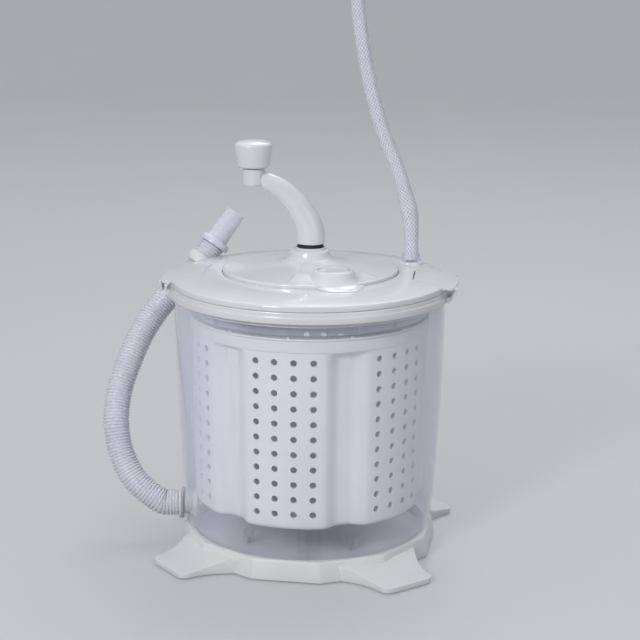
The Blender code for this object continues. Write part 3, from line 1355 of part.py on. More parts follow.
def build_gears(shop):
    for step, frame in enumerate(PLANET_FRAMES):
        phase = FULL_TURN * step / PLANET_COUNT
        outlines = (toothed_wheel(PLANET_TEETH, phase), circle(PLANET_PIN_RADIUS + FIT, SMALL_SEGMENTS))
        planet = plate_mesh(f"planet_gear_{step + 1}", outlines, GEAR_BOTTOM, GEAR_TOP)
        shop.add(f"planet_gear_{step + 1}", planet, "gear_nylon").location = frame.to_translation()
    pin = rod_mesh("planet_pin", PLANET_PIN_RADIUS, WELL_FLOOR_TOP - PLANET_PIN_SINK, GEAR_TOP, SMALL_SEGMENTS)
    shop.add_copies("planet_pin", pin, "steel", PLANET_FRAMES)
    half_tooth = math.pi / SUN_TEETH
    sun = (toothed_wheel(SUN_TEETH, half_tooth), circle(OUTPUT_SHAFT_RADIUS + FIT))
    shop.add("sun_gear", plate_mesh("sun_gear", sun, GEAR_BOTTOM, GEAR_TOP), "gear_nylon")
    pitch_radius = GEAR_MODULE * RING_TEETH / 2
    tip = pitch_radius - GEAR_MODULE * ADDENDUM_SHARE
    root = pitch_radius + GEAR_MODULE * DEDENDUM_SHARE
    teeth = gear_outline(RING_TEETH, tip, root, math.pi / RING_TEETH)
    disc = rod_mesh("ring_gear", RING_GEAR_RADIUS, GEAR_BOTTOM, RING_WEB_TOP, RING_SEGMENTS)
    gear = shop.add("ring_gear", disc, "gear_nylon")
    hub_low = RING_WEB_BOTTOM + RING_WEB_THICKNESS / 2
    unite(gear, shop.helper(rod_mesh("hub", RING_HUB_RADIUS, hub_low, RING_HUB_TOP)))
    socket = SHAFT_RADIUS + FIT
    cut(
        gear,
        shop.helper(plate_mesh("teeth", (teeth,), down(GEAR_BOTTOM), RING_WEB_BOTTOM)),
        shop.helper(rod_mesh("socket", socket, SHAFT_BOTTOM - FIT, up(RING_HUB_TOP), SHAFT_SQUARE_SIDES)),
        shop.helper(rod_mesh("screw_hole", SHAFT_SCREW_RADIUS + FIT, RING_WEB_BOTTOM, RING_HUB_TOP)),
        shop.helper(
            rod_mesh("head_seat", SHAFT_SCREW_HEAD_RADIUS + FIT, down(RING_WEB_BOTTOM), SHAFT_SCREW_SEAT + FIT)
        ),
    )
    bush = sleeve_mesh(
        "output_bush", OUTPUT_SHAFT_RADIUS + FIT, OUTPUT_BUSH_RADIUS, OUTPUT_BOSS_BOTTOM, WELL_FLOOR_TOP
    )
    shop.add("output_bush", bush, "bearing_bronze")
    dog = rod_mesh("output_shaft", DOG_RADIUS, DOG_BOTTOM, DOG_TOP, DOG_SIDES)
    shaft = shop.add("output_shaft", dog, "steel")
    unite(shaft, shop.helper(rod_mesh("shank", OUTPUT_SHAFT_RADIUS, down(DOG_TOP), GEAR_TOP)))


# Crank with its shaft and its knob


def bezier_point(share, start, first, second, end):
    rest = 1 - share
    return (
        start * rest**3 + first * (3 * rest**2 * share) + second * (3 * rest * share**2) + end * share**3
    )


def crank_line():
    """The middle line of the arm, upright at the shaft and level at the knob, with its radii."""
    start = Vector((0, 0, CRANK_BOTTOM + CRANK_STRAIGHT))
    end = start + Vector((CRANK_OFFSET, 0, CRANK_RISE))
    rise_share, reach_share = CRANK_HANDLE_SHARES
    first = start + Vector((0, 0, CRANK_RISE * rise_share))
    second = end - Vector((CRANK_OFFSET * reach_share, 0, 0))
    points = [Vector((0, 0, CRANK_BOTTOM))]
    radii = [CRANK_BASE_RADIUS]
    for step in range(CRANK_CURVE_POINTS):
        share = step / (CRANK_CURVE_POINTS - 1)
        points.append(bezier_point(share, start, first, second, end))
        radii.append(CRANK_BASE_RADIUS + (CRANK_END_RADIUS - CRANK_BASE_RADIUS) * share)
    return points, radii


KNOB_FRAME = Matrix.Translation(polar(CRANK_OFFSET, CRANK_AZIMUTH))


def build_crank(shop):
    points, radii = crank_line()
    turn = Matrix.Rotation(CRANK_AZIMUTH, 4, "Z")
    arm_mesh = tube_mesh("crank_arm", [turn @ point for point in points], radii, CRANK_BEVEL_RESOLUTION)
    arm = shop.add("crank_arm", arm_mesh, "satin_white")
    post = rod_mesh("post", CRANK_POST_RADIUS, CRANK_POST_BOTTOM, CRANK_POST_TOP, matrix=KNOB_FRAME)
    unite(arm, shop.helper(post))
    pin_bottom = CRANK_POST_TOP - KNOB_PIN_SINK
    pin_hole = KNOB_PIN_RADIUS + FIT
    cut(
        arm,
        shop.helper(rod_mesh("socket", SHAFT_RADIUS + FIT, down(CRANK_BOTTOM), SHAFT_TOP + FIT)),
        shop.helper(rod_mesh("pin_hole", pin_hole, pin_bottom - FIT, up(CRANK_POST_TOP), matrix=KNOB_FRAME)),
    )
    shank = rod_mesh("crank_shaft", SHAFT_RADIUS, RING_HUB_TOP + FIT, SHAFT_TOP)
    shaft = shop.add("crank_shaft", shank, "steel")
    square = rod_mesh("square", SHAFT_RADIUS, SHAFT_BOTTOM, up(RING_HUB_TOP), SHAFT_SQUARE_SIDES)
    unite(shaft, shop.helper(square))
    screw_top = SHAFT_SCREW_SEAT + SHAFT_SCREW_LENGTH
    cut(shaft, shop.helper(rod_mesh("tap", SHAFT_SCREW_RADIUS + FIT, down(SHAFT_BOTTOM), screw_top + FIT)))
    screw = screw_mesh(
        "shaft_screw", SHAFT_SCREW_RADIUS, SHAFT_SCREW_HEAD_RADIUS, SHAFT_SCREW_HEAD_HEIGHT, SHAFT_SCREW_LENGTH
    )
    shop.add("shaft_screw", screw, "steel").location = Vector((0, 0, SHAFT_SCREW_SEAT))
    bush = sleeve_mesh("crank_bush", SHAFT_RADIUS + FIT, SHAFT_BUSH_RADIUS, HUB_SPACE_TOP, HUB_CONE_TOP)
    shop.add("crank_bush", bush, "bearing_bronze")
    seal_bottom = HUB_CONE_TOP + FIT
    seal = sleeve_mesh("shaft_seal", SHAFT_RADIUS + FIT, SEAL_RADIUS, seal_bottom, seal_bottom + SEAL_THICKNESS)
    shop.add("shaft_seal", seal, "black_rubber")


def build_knob(shop):
    height = KNOB_TOP - KNOB_BOTTOM
    profile = [
        (KNOB_RADIUS * radius_share, KNOB_BOTTOM + height * height_share)
        for height_share, radius_share in KNOB_SHAPE_SHARES
    ]
    knob = turned(shop, "knob", [*profile, (0.0, KNOB_BOTTOM)], "satin_white", RING_SEGMENTS, closed=False)
    knob.location = KNOB_FRAME.to_translation()
    head_bottom = KNOB_PIN_TOP - KNOB_PIN_HEAD_HEIGHT
    bore = KNOB_PIN_RADIUS + FIT
    head_room = KNOB_PIN_HEAD_RADIUS + FIT
    cut(
        knob,
        shop.helper(rod_mesh("bore", bore, down(KNOB_BOTTOM), KNOB_PIN_TOP, matrix=KNOB_FRAME)),
        shop.helper(rod_mesh("head_room", head_room, head_bottom - FIT, KNOB_PIN_TOP + FIT, matrix=KNOB_FRAME)),
    )
    pin_bottom = CRANK_POST_TOP - KNOB_PIN_SINK
    pin = shop.add(
        "knob_pin", rod_mesh("knob_pin", KNOB_PIN_RADIUS, pin_bottom, KNOB_PIN_TOP, matrix=KNOB_FRAME), "steel"
    )
    head = rod_mesh("head", KNOB_PIN_HEAD_RADIUS, head_bottom, KNOB_PIN_TOP, matrix=KNOB_FRAME)
    unite(pin, shop.helper(head))


# Latches with their hinge pins


def build_latches(shop):
    along = frame_along((0, 0, 0), (0, 1, 0))
    half = LATCH_HALF_WIDTH * LATCH_OUTLINE_SHARES[0][1]
    hook_size = (LATCH_HOOK_WALL, LATCH_HOOK_WIDTH, LATCH_HOOK_DEPTH + LATCH_THICKNESS / 2)
    hook_x = LATCH_LENGTH - LATCH_HOOK_WALL / 2 - FIT
    hook_z = LATCH_THICKNESS / 2 - hook_size[2] / 2
    hook_frames = [
        Matrix.Translation(Vector((hook_x, side * LATCH_HOOK_OFFSET, hook_z))) for side in (-1, 1)
    ]
    blank = shop.helper(plate_mesh("latch", (latch_outline(),), 0.0, LATCH_THICKNESS))
    barrel = rod_mesh("barrel", LATCH_BARREL_RADIUS, -half, half, matrix=along)
    unite(blank, shop.helper(barrel), shop.helper(boxes_mesh("hooks", hook_size, hook_frames)))
    bore = rod_mesh("bore", LATCH_PIN_RADIUS + FIT, -half - OVERRUN, half + OVERRUN, SMALL_SEGMENTS, along)
    cut(blank, shop.helper(bore))
    latch_mesh = baked(blank, "latch")
    latch_mesh.materials.append(shop.materials["gloss_white"])
    for name, azimuth in LATCH_AZIMUTHS.items():
        latch = bpy.data.objects.new(name, latch_mesh)
        latch.matrix_world = latch_frame(azimuth)
        shop.pieces.objects.link(latch)
    pin_frames = [latch_frame(azimuth) @ along for azimuth in LATCH_AZIMUTHS.values()]
    reach = LATCH_PIN_HALF_LENGTH
    pin = rod_mesh("latch_pin", LATCH_PIN_RADIUS, -reach, reach, SMALL_SEGMENTS)
    shop.add_copies("latch_pin", pin, "steel", pin_frames)


# Water inlet: nozzle, hose and tap connector

INLET_FLANGE_TOP = INLET_BOSS_TOP + FIT + INLET_FLANGE_THICKNESS


def moved_out(point, azimuth):
    """A point of a route as the tub's radius takes it: outwards by as much as the tub grew."""
    return Vector(point) + polar(TUB_TOP_RADIUS - ROUTE_TUB_RADIUS, azimuth)


def inlet_points():
    route = [moved_out(point, INLET_AZIMUTH) for point in INLET_ROUTE]
    foot = polar(INLET_PLACE_RADIUS, INLET_AZIMUTH, INLET_FLANGE_TOP + FIT)
    upright = foot + Vector((0, 0, INLET_STRAIGHT))
    return smooth_route([foot, upright, *route], INLET_HOSE_STEPS)


def build_inlet(shop):
    cup_inner = INLET_HOSE_RADIUS + FIT
    cup_outer = cup_inner + INLET_CUP_WALL
    cup_top = INLET_FLANGE_TOP + INLET_CUP_HEIGHT
    profile = (
        (cup_inner, cup_top),
        (cup_outer, cup_top),
        (cup_outer, INLET_FLANGE_TOP),
        (INLET_FLANGE_RADIUS, INLET_FLANGE_TOP),
        (INLET_FLANGE_RADIUS, INLET_BOSS_TOP + FIT),
        (INLET_TUBE_RADIUS, INLET_BOSS_TOP + FIT),
        (INLET_TUBE_RADIUS, INLET_TUBE_BOTTOM),
        (INLET_TUBE_BORE, INLET_TUBE_BOTTOM),
        (INLET_TUBE_BORE, INLET_FLANGE_TOP),
        (cup_inner, INLET_FLANGE_TOP),
    )
    nozzle = turned(shop, "inlet_nozzle", profile, "clear_ring", ROUND_SEGMENTS)
    nozzle.location = INLET_FRAME.to_translation()
    points = inlet_points()
    radii = [INLET_HOSE_RADIUS] * len(points)
    shop.add("inlet_hose", tube_mesh("inlet_hose", points, radii, HOSE_BEVEL_RESOLUTION), "braided_vinyl")
    frame = frame_along(points[-1], points[-1] - points[-2])
    sleeve_top = FIT + TAP_SLEEVE_HEIGHT
    top = sleeve_top + TAP_NUT_HEIGHT
    sleeve = rod_mesh("tap_connector", TAP_SLEEVE_RADIUS, FIT, up(sleeve_top), matrix=frame)
    tap = shop.add("tap_connector", sleeve, "tap_brass")
    unite(tap, shop.helper(rod_mesh("nut", TAP_NUT_RADIUS, sleeve_top, top, matrix=frame)))
    cut(tap, shop.helper(rod_mesh("bore", TAP_BORE_RADIUS, top - TAP_BORE_DEPTH, up(top), matrix=frame)))


# Drain hose, its connector and the clip that holds it


def drain_end():
    """The upper end of the drain hose."""
    return moved_out(DRAIN_END, math.atan2(DRAIN_END[1], DRAIN_END[0]))


def drain_ends():
    """The hose's two straight ends, each from its face inwards."""
    outwards = polar(1.0, DRAIN_AZIMUTH)
    start = outwards * HOSE_FACE + Vector((0, 0, DRAIN_HEIGHT))
    end = drain_end()
    direction = Vector(DRAIN_END_DIRECTION).normalized()
    return start, start + outwards * HOSE_STRAIGHT, end - direction * HOSE_STRAIGHT, end


def drain_points(steps):
    start, start_inner, end_inner, end = drain_ends()
    route = [moved_out(point, math.atan2(point[1], point[0])) for point in DRAIN_ROUTE]
    return smooth_route([start, start_inner, *route, end_inner, end], steps)


def build_drain_hose(shop):
    steps = 2 * HOSE_RIBS
    points = drain_points(steps)
    radii = [HOSE_RADIUS if step % 2 else HOSE_ROOT_RADIUS for step in range(steps + 1)]
    mesh = tube_mesh("drain_hose", points, radii, HOSE_BEVEL_RESOLUTION)
    hose = shop.add("drain_hose", mesh, "hose_vinyl")
    inner = drain_points(HOSE_BORE_STEPS)
    first = (inner[1] - inner[0]).normalized()
    last = (inner[-1] - inner[-2]).normalized()
    inner = [inner[0] - first * OVERRUN, *inner, inner[-1] + last * OVERRUN]
    bore = tube_mesh("bore", inner, [HOSE_BORE_RADIUS] * len(inner), HOSE_BEVEL_RESOLUTION)
    cut(hose, shop.helper(bore))


def build_connector(shop):
    frame = frame_along(drain_end(), DRAIN_END_DIRECTION)
    collar_top = FIT + CONNECTOR_COLLAR_LENGTH
    top = collar_top + CONNECTOR_TUBE_LENGTH
    straight_tube = rod_mesh("drain_connector", CONNECTOR_TUBE_RADIUS, FIT, top, matrix=frame)
    tube = shop.add("drain_connector", straight_tube, "hose_vinyl")
    unite(tube, shop.helper(rod_mesh("collar", CONNECTOR_COLLAR_RADIUS, FIT, collar_top, matrix=frame)))
    bore = CONNECTOR_TUBE_RADIUS - CONNECTOR_WALL
    cut(tube, shop.helper(rod_mesh("bore", bore, -OVERRUN, up(top), matrix=frame)))


def build_clip(shop):
    direction = Vector(DRAIN_END_DIRECTION).normalized()
    centre = drain_end() - direction * CLIP_BACKSET
    azimuth = math.atan2(centre.y, centre.x)
    outwards = polar(1.0, azimuth)
    across = (outwards - direction * outwards.dot(direction)).normalized()
    frame = Matrix((across, direction.cross(across), direction)).transposed().to_4x4()
    frame = Matrix.Translation(centre) @ frame
    inner = HOSE_RADIUS + FIT
    outer = inner + CLIP_WALL
    start = CLIP_OPENING / 2
    sweep = FULL_TURN - CLIP_OPENING
    turns = [start + sweep * step / CLIP_ARC_STEPS for step in range(CLIP_ARC_STEPS + 1)]
    outline = [polar(outer, turn).to_2d() for turn in turns]
    outline += [polar(inner / math.cos(sweep / CLIP_ARC_STEPS / 2), turn).to_2d() for turn in reversed(turns)]
    half = CLIP_WIDTH / 2
    clip = shop.add("hose_clip", plate_mesh("hose_clip", (outline,), -half, half, frame), "satin_white")
    near = COLLAR_RADIUS + FIT
    far = centre.to_2d().length - inner
    middle = (COLLAR_BOTTOM + COLLAR_STEP + CLIP_ARM_HEIGHT / 2) / 2
    size = (far - near, CLIP_ARM_WIDTH, CLIP_ARM_HEIGHT)
    arm_frame = placed(polar((far + near) / 2, azimuth, middle), azimuth)
    unite(clip, shop.helper(boxes_mesh("arm", size, (arm_frame,))))
    room = inner / math.cos(math.pi / ROUND_SEGMENTS)
    cut(clip, shop.helper(rod_mesh("room", room, -CLIP_WIDTH, CLIP_WIDTH, ROUND_SEGMENTS, frame)))


# Assembly


def carry(shop, name, place, members, parent=None):
    """An empty on a joint's axis, which carries the pieces that move together."""
    carrier = bpy.data.objects.new(name, None)
    carrier.location = place
    shop.pieces.objects.link(carrier)
    bpy.context.view_layer.update()
    for member in members:
        piece = bpy.data.objects[member]
        piece.parent = carrier
        piece.matrix_parent_inverse = carrier.matrix_world.inverted()
    if parent is not None:
        carrier.parent = parent
        carrier.matrix_parent_inverse = parent.matrix_world.inverted()
    return carrier


def build_all(shop):
    build_base(shop)
    build_base_fittings(shop)
    build_tub(shop)
    build_drain(shop)
    build_basket(shop)
    build_basket_cover(shop)
    build_collar(shop)
    build_lid(shop)
    build_splash_ring(shop)
    build_gearbox_cover(shop)
    build_filler_cap(shop)
    build_gears(shop)
    build_crank(shop)
    build_knob(shop)
    build_latches(shop)
    build_inlet(shop)
    build_drain_hose(shop)
    build_connector(shop)
    build_clip(shop)


def main():
    clear_scene()
    shop = Workshop()
    build_all(shop)
    axis = Vector((0, 0, 0))
    lid_pieces = (
        "lid lid_gasket splash_ring gearbox_cover output_bush crank_bush shaft_seal "
        "latch_pin_1 latch_pin_2 inlet_nozzle inlet_hose tap_connector latch_right latch_left"
    ).split()
    lid_pieces += [f"cover_screw_{step + 1}" for step in range(COVER_SCREW_COUNT)]
    for name in ("planet_pin", "planet_gear"):
        lid_pieces += [f"{name}_{step + 1}" for step in range(PLANET_COUNT)]
    lid = carry(shop, "lid_carrier", axis, lid_pieces)
    crank_names = "crank_arm crank_shaft ring_gear shaft_screw knob_pin".split()
    crank = carry(shop, "crank_carrier", axis, crank_names, lid)
    carry(shop, "knob_carrier", KNOB_FRAME.to_translation(), ("knob",), crank)
    carry(shop, "output_carrier", axis, ("output_shaft", "sun_gear"), lid)
    carry(shop, "cap_carrier", PORT_FRAME.to_translation(), ("filler_cap", "cap_gasket"), lid)
    carry(shop, "basket_carrier", axis, ("basket", "basket_bush", "basket_cover"))


if __name__ == "__main__":
    main()
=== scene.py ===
"""Mini washing machine: the finished look of its moulded pieces, hoses and metal fittings.

Lengths are metres, angles are radians, and the tub's axis is Z with the floor at zero.
"""

import json
import logging
import math
from dataclasses import dataclass, field
from enum import Enum
from typing import Iterable, Sequence

import bmesh
import bpy
from mathutils import Matrix, Vector

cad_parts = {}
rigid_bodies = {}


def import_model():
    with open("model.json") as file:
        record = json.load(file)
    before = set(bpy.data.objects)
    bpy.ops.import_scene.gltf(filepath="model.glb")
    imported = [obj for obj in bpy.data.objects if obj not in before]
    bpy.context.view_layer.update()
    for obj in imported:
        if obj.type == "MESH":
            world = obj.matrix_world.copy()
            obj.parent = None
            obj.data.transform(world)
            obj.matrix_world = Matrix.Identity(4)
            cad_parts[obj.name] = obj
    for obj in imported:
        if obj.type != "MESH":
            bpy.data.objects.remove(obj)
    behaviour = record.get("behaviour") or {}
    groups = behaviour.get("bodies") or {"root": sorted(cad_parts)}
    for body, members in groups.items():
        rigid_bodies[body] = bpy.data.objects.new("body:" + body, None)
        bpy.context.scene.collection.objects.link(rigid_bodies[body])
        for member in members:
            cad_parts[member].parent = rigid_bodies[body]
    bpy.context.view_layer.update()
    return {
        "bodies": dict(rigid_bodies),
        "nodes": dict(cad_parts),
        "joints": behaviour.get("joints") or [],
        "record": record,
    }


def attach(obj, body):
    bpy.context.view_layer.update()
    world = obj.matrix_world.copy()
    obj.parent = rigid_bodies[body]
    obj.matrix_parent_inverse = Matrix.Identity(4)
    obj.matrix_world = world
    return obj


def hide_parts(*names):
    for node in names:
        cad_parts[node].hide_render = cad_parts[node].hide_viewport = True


LOG = logging.getLogger("mini_washer")
FULL_TURN = 2 * math.pi
UPRIGHT = Matrix.Identity(4)

# The gap between faces that meet, how far a cutter runs past what it cuts, how far apart two faces
# are set that would share a plane, and the distance within which points are welded.
FIT = 0.0003
CUT_PAST = 0.002
STAGGER = 0.00012
WELD = 1e-6

# Where things stand that more than one piece meets, as distances from the axis and angles round it.
FOOT_AZIMUTHS = tuple(math.radians(45 + 90 * step) for step in range(4))
BASE_SCREW_RING = 0.070
COVER_SCREW_AZIMUTHS = tuple(math.radians(-15 + 90 * step) for step in range(4))
COVER_SCREW_RING = 0.064
COVER_SCREW_BORE = 0.0017
LATCH_AZIMUTHS = (math.radians(4), math.radians(184))
DRAIN_AZIMUTH = math.radians(190)
DRAIN_HEIGHT = 0.0355
INLET_AZIMUTH = math.radians(37.1)
INLET_RADIUS = 0.1097
PORT_AZIMUTH = math.radians(-60)
PORT_RADIUS = 0.0617
PORT_BORE = 0.0125

Profile = Sequence[tuple[float, ...]]
Colour = tuple[float, float, float]
Socket = bpy.types.NodeSocket


def polar(radius: float, azimuth: float, height: float = 0.0) -> Vector:
    """A point at a distance from the axis, at an angle round it."""
    return Vector((radius * math.cos(azimuth), radius * math.sin(azimuth), height))


def turned(azimuth: float) -> Matrix:
    """A turn about the tub's axis."""
    return Matrix.Rotation(azimuth, 4, "Z")


def at(place: Sequence[float]) -> Matrix:
    """A frame moved to a place and not turned."""
    return Matrix.Translation(Vector(place))


def along(origin: Sequence[float], direction: Sequence[float]) -> Matrix:
    """A frame whose Z runs along a direction.

    Args:
        origin: Where the frame stands.
        direction: Which way its Z points.

    Returns:
        The frame, with its Y leaning towards up.
    """
    return at(origin) @ Vector(direction).to_track_quat("Z", "Y").to_matrix().to_4x4()


def evenly(count: int) -> list[float]:
    """Angles that share a full turn between them."""
    return [FULL_TURN * step / count for step in range(count)]


def stood_round(radius: float, azimuths: Iterable[float]) -> list[Matrix]:
    """Upright frames at a distance from the axis, one at each angle."""
    return [at(polar(radius, azimuth)) for azimuth in azimuths]


def eased(share: float) -> float:
    """A share from 0 to 1 that starts and ends gently."""
    share = min(1.0, max(0.0, share))
    return share * share * (3 - 2 * share)


def linear(red: int, green: int, blue: int) -> Colour:
    """A colour as a paint card gives it, in the shader's linear scale.

    Args:
        red: Its red, from 0 to 255.
        green: Its green.
        blue: Its blue.

    Returns:
        The three shares of full light.
    """

    def channel(value: int) -> float:
        """One channel of it."""
        share = value / 255
        return share / 12.92 if share <= 0.04045 else ((share + 0.055) / 1.055) ** 2.4

    return channel(red), channel(green), channel(blue)


# Finishes


class Shader:
    """A node material on a principled surface, patterned in the object's own place."""

    def __init__(self, name: str, colour: Colour, roughness: float) -> None:
        """Starts a material.

        Args:
            name: The material's name.
            colour: Its plain colour.
            roughness: Its plain roughness.
        """
        self.material = bpy.data.materials.new(name)
        self.material.use_nodes = True
        self.nodes = self.material.node_tree.nodes
        self.wires = self.material.node_tree.links
        self.surface = self.nodes["Principled BSDF"]
        self.surface.inputs["Base Color"].default_value = (*colour, 1.0)
        self.surface.inputs["Roughness"].default_value = roughness
        self.place = self.nodes.new("ShaderNodeTexCoord").outputs["Object"]

    def plain(self, **values: float | tuple) -> None:
        """Sets sockets of the surface to one value, with _ for a space in a socket's name."""
        for name, value in values.items():
            self.surface.inputs[name.replace("_", " ")].default_value = value

    def noise(self, scale: float, detail: float = 3.0, stretch: Sequence[float] = (1, 1, 1)) -> Socket:
        """A noise pattern.

        Args:
            scale: How fine it is, in waves a metre.
            detail: How many finer octaves it has.
            stretch: How much finer it is along each axis.

        Returns:
            Its value, about 0.25 to 0.75.
        """
        mapping = self.nodes.new("ShaderNodeMapping")
        mapping.inputs["Scale"].default_value = tuple(stretch)
        self.wires.new(self.place, mapping.inputs["Vector"])
        node = self.nodes.new("ShaderNodeTexNoise")
        node.inputs["Scale"].default_value = scale
        node.inputs["Detail"].default_value = detail
        self.wires.new(mapping.outputs["Vector"], node.inputs["Vector"])
        return node.outputs["Fac"]

    def spread(self, source: Socket, low: float, high: float, first: float, last: float) -> Socket:
        """Maps one range of a pattern onto another.

        Args:
            source: The pattern.
            low: The value that becomes the first.
            high: The value that becomes the last.
            first: What the low value becomes.
            last: What the high value becomes.

        Returns:
            The mapped pattern.
        """
        node = self.nodes.new("ShaderNodeMapRange")
        for name, value in (("From Min", low), ("From Max", high), ("To Min", first), ("To Max", last)):
            node.inputs[name].default_value = value
        self.wires.new(source, node.inputs["Value"])
        return node.outputs["Result"]

    def maths(self, operation: str, first: Socket | float, second: Socket | float = 0.0) -> Socket:
        """Works out one sum of two patterns or numbers.

        Args:
            operation: Which sum it is.
            first: The first pattern or number.
            second: The second one.

        Returns:
            The result.
        """
        node = self.nodes.new("ShaderNodeMath")
        node.operation = operation
        for place, value in enumerate((first, second)):
            if isinstance(value, (int, float)):
                node.inputs[place].default_value = value
            else:
                self.wires.new(value, node.inputs[place])
        return node.outputs["Value"]

    def tint(self, share: Socket, first: Socket | Colour, second: Colour) -> Socket:
        """Mixes a second colour into a first.

        Args:
            share: How much of the second colour there is.
            first: The first colour, plain or already mixed.
            second: The second colour.

        Returns:
            The mixed colour.
        """
        node = self.nodes.new("ShaderNodeMix")
        node.data_type = "RGBA"
        self.wires.new(share, node.inputs["Factor"])
        if isinstance(first, tuple):
            node.inputs["A"].default_value = (*first, 1.0)
        else:
            self.wires.new(first, node.inputs["A"])
        node.inputs["B"].default_value = (*second, 1.0)
        return node.outputs["Result"]

    def drive(self, name: str, source: Socket) -> None:
        """Wires a pattern into a socket of the surface."""
        self.wires.new(source, self.surface.inputs[name])

    def glow(self, weight: float, depth: float) -> None:
        """Lets light spread under the surface, a little further in blue, to a depth in metres."""
        self.plain(Subsurface_Weight=weight, Subsurface_Radius=(1.0, 1.0, 1.1), Subsurface_Scale=depth)

    def emboss(self, height: Socket, depth: float, strength: float = 1.0) -> None:
        """Raises the surface by a pattern, on top of any emboss before it.

        Args:
            height: The pattern.
            depth: How far it raises the surface.
            strength: How much of that shows.
        """
        node = self.nodes.new("ShaderNodeBump")
        node.inputs["Distance"].default_value = depth
        node.inputs["Strength"].default_value = strength
        self.wires.new(height, node.inputs["Height"])
        before = self.surface.inputs["Normal"].links
        if before:
            self.wires.new(before[0].from_socket, node.inputs["Normal"])
        self.wires.new(node.outputs["Normal"], self.surface.inputs["Normal"])


@dataclass(frozen=True)
class Finish:
    """What every finish has: its name, the slot of the record that it belongs to, and its colour."""

    name: str
    slot: str
    colour: tuple[int, int, int]

    def material(self) -> bpy.types.Material:
        """Builds the node material, each kind of finish in its own way."""
        raise NotImplementedError(self.name)


@dataclass(frozen=True)
class MouldedPlastic(Finish):
    """An opaque moulded plastic with faint flow marks, fine handling scuffs and a moulded grain."""

    shade: tuple[int, int, int]
    roughness: float
    grain: float
    coat: float = 0.0
    glow: float = 0.0
    worn_share: float = 0.88
    scuff_share: float = 0.10

    def material(self) -> bpy.types.Material:
        """Builds the node material.

        Returns:
            The material.
        """
        shader = Shader(self.name, linear(*self.colour), self.roughness)
        flow = shader.spread(shader.noise(14.0, 4.0), 0.35, 0.68, 0.0, 1.0)
        scuff = shader.spread(shader.noise(140.0, 6.0, (1.0, 5.0, 3.0)), 0.66, 0.78, 0.0, 1.0)
        colour = shader.tint(flow, linear(*self.colour), linear(*self.shade))
        marks = shader.maths("MULTIPLY", scuff, self.scuff_share)
        worn = tuple(value * self.worn_share for value in linear(*self.shade))
        shader.drive("Base Color", shader.tint(marks, colour, worn))
        rough = shader.spread(shader.noise(35.0, 5.0), 0.3, 0.7, self.roughness * 0.82, self.roughness * 1.2)
        shader.drive("Roughness", shader.maths("ADD", rough, shader.maths("MULTIPLY", scuff, 0.08)))
        shader.emboss(shader.noise(900.0, 2.0), self.grain, 0.5)
        shader.emboss(shader.noise(24.0, 2.0), self.grain, 0.2)
        shader.plain(IOR=1.5, Coat_Weight=self.coat, Coat_Roughness=0.08)
        if self.glow:
            shader.glow(self.glow, 0.012)
        return shader.material


@dataclass(frozen=True)
class ClearPlastic(Finish):
    """A thin clear or frosted plastic: faintly milky face on, and more so where it is seen edge on."""

    roughness: float
    face_haze: float
    edge_haze: float
    edge_blend: float = 0.38
    light_passed: float = 0.85
    coat_roughness: float = 0.03

    def material(self) -> bpy.types.Material:
        """Builds the node material.

        Returns:
            The material.
        """
        shader = Shader(self.name, linear(*self.colour), self.roughness)
        facing = shader.nodes.new("ShaderNodeLayerWeight")
        facing.inputs["Blend"].default_value = self.edge_blend
        haze = shader.spread(facing.outputs["Facing"], 0.1, 1.0, self.face_haze, self.edge_haze)
        streaks = shader.spread(shader.noise(8.0, 3.0, (1.0, 1.0, 0.3)), 0.3, 0.7, -0.03, 0.03)
        ray = shader.nodes.new("ShaderNodeLightPath").outputs
        lighting = shader.maths("ADD", ray["Is Shadow Ray"], ray["Is Diffuse Ray"])
        passed = shader.maths("SUBTRACT", 1.0, shader.maths("MULTIPLY", lighting, self.light_passed))
        shader.drive("Alpha", shader.maths("MULTIPLY", shader.maths("ADD", haze, streaks), passed))
        scuff = shader.spread(shader.noise(120.0, 6.0, (1.0, 1.0, 0.2)), 0.60, 0.75, 0.0, 0.12)
        shader.drive("Roughness", shader.maths("ADD", scuff, self.roughness))
        shade = tuple(value * 0.94 for value in linear(*self.colour))
        shader.drive("Base Color", shader.tint(streaks, linear(*self.colour), shade))
        shader.emboss(shader.noise(11.0, 2.0, (1.0, 1.0, 0.3)), 0.0006, 0.25)
        shader.plain(IOR=1.5, Specular_IOR_Level=0.8, Coat_Weight=1.0, Coat_Roughness=self.coat_roughness)
        return shader.material


class Weave(Enum):
    """What runs through a vinyl hose."""

    NONE = 0
    BRAID = 1


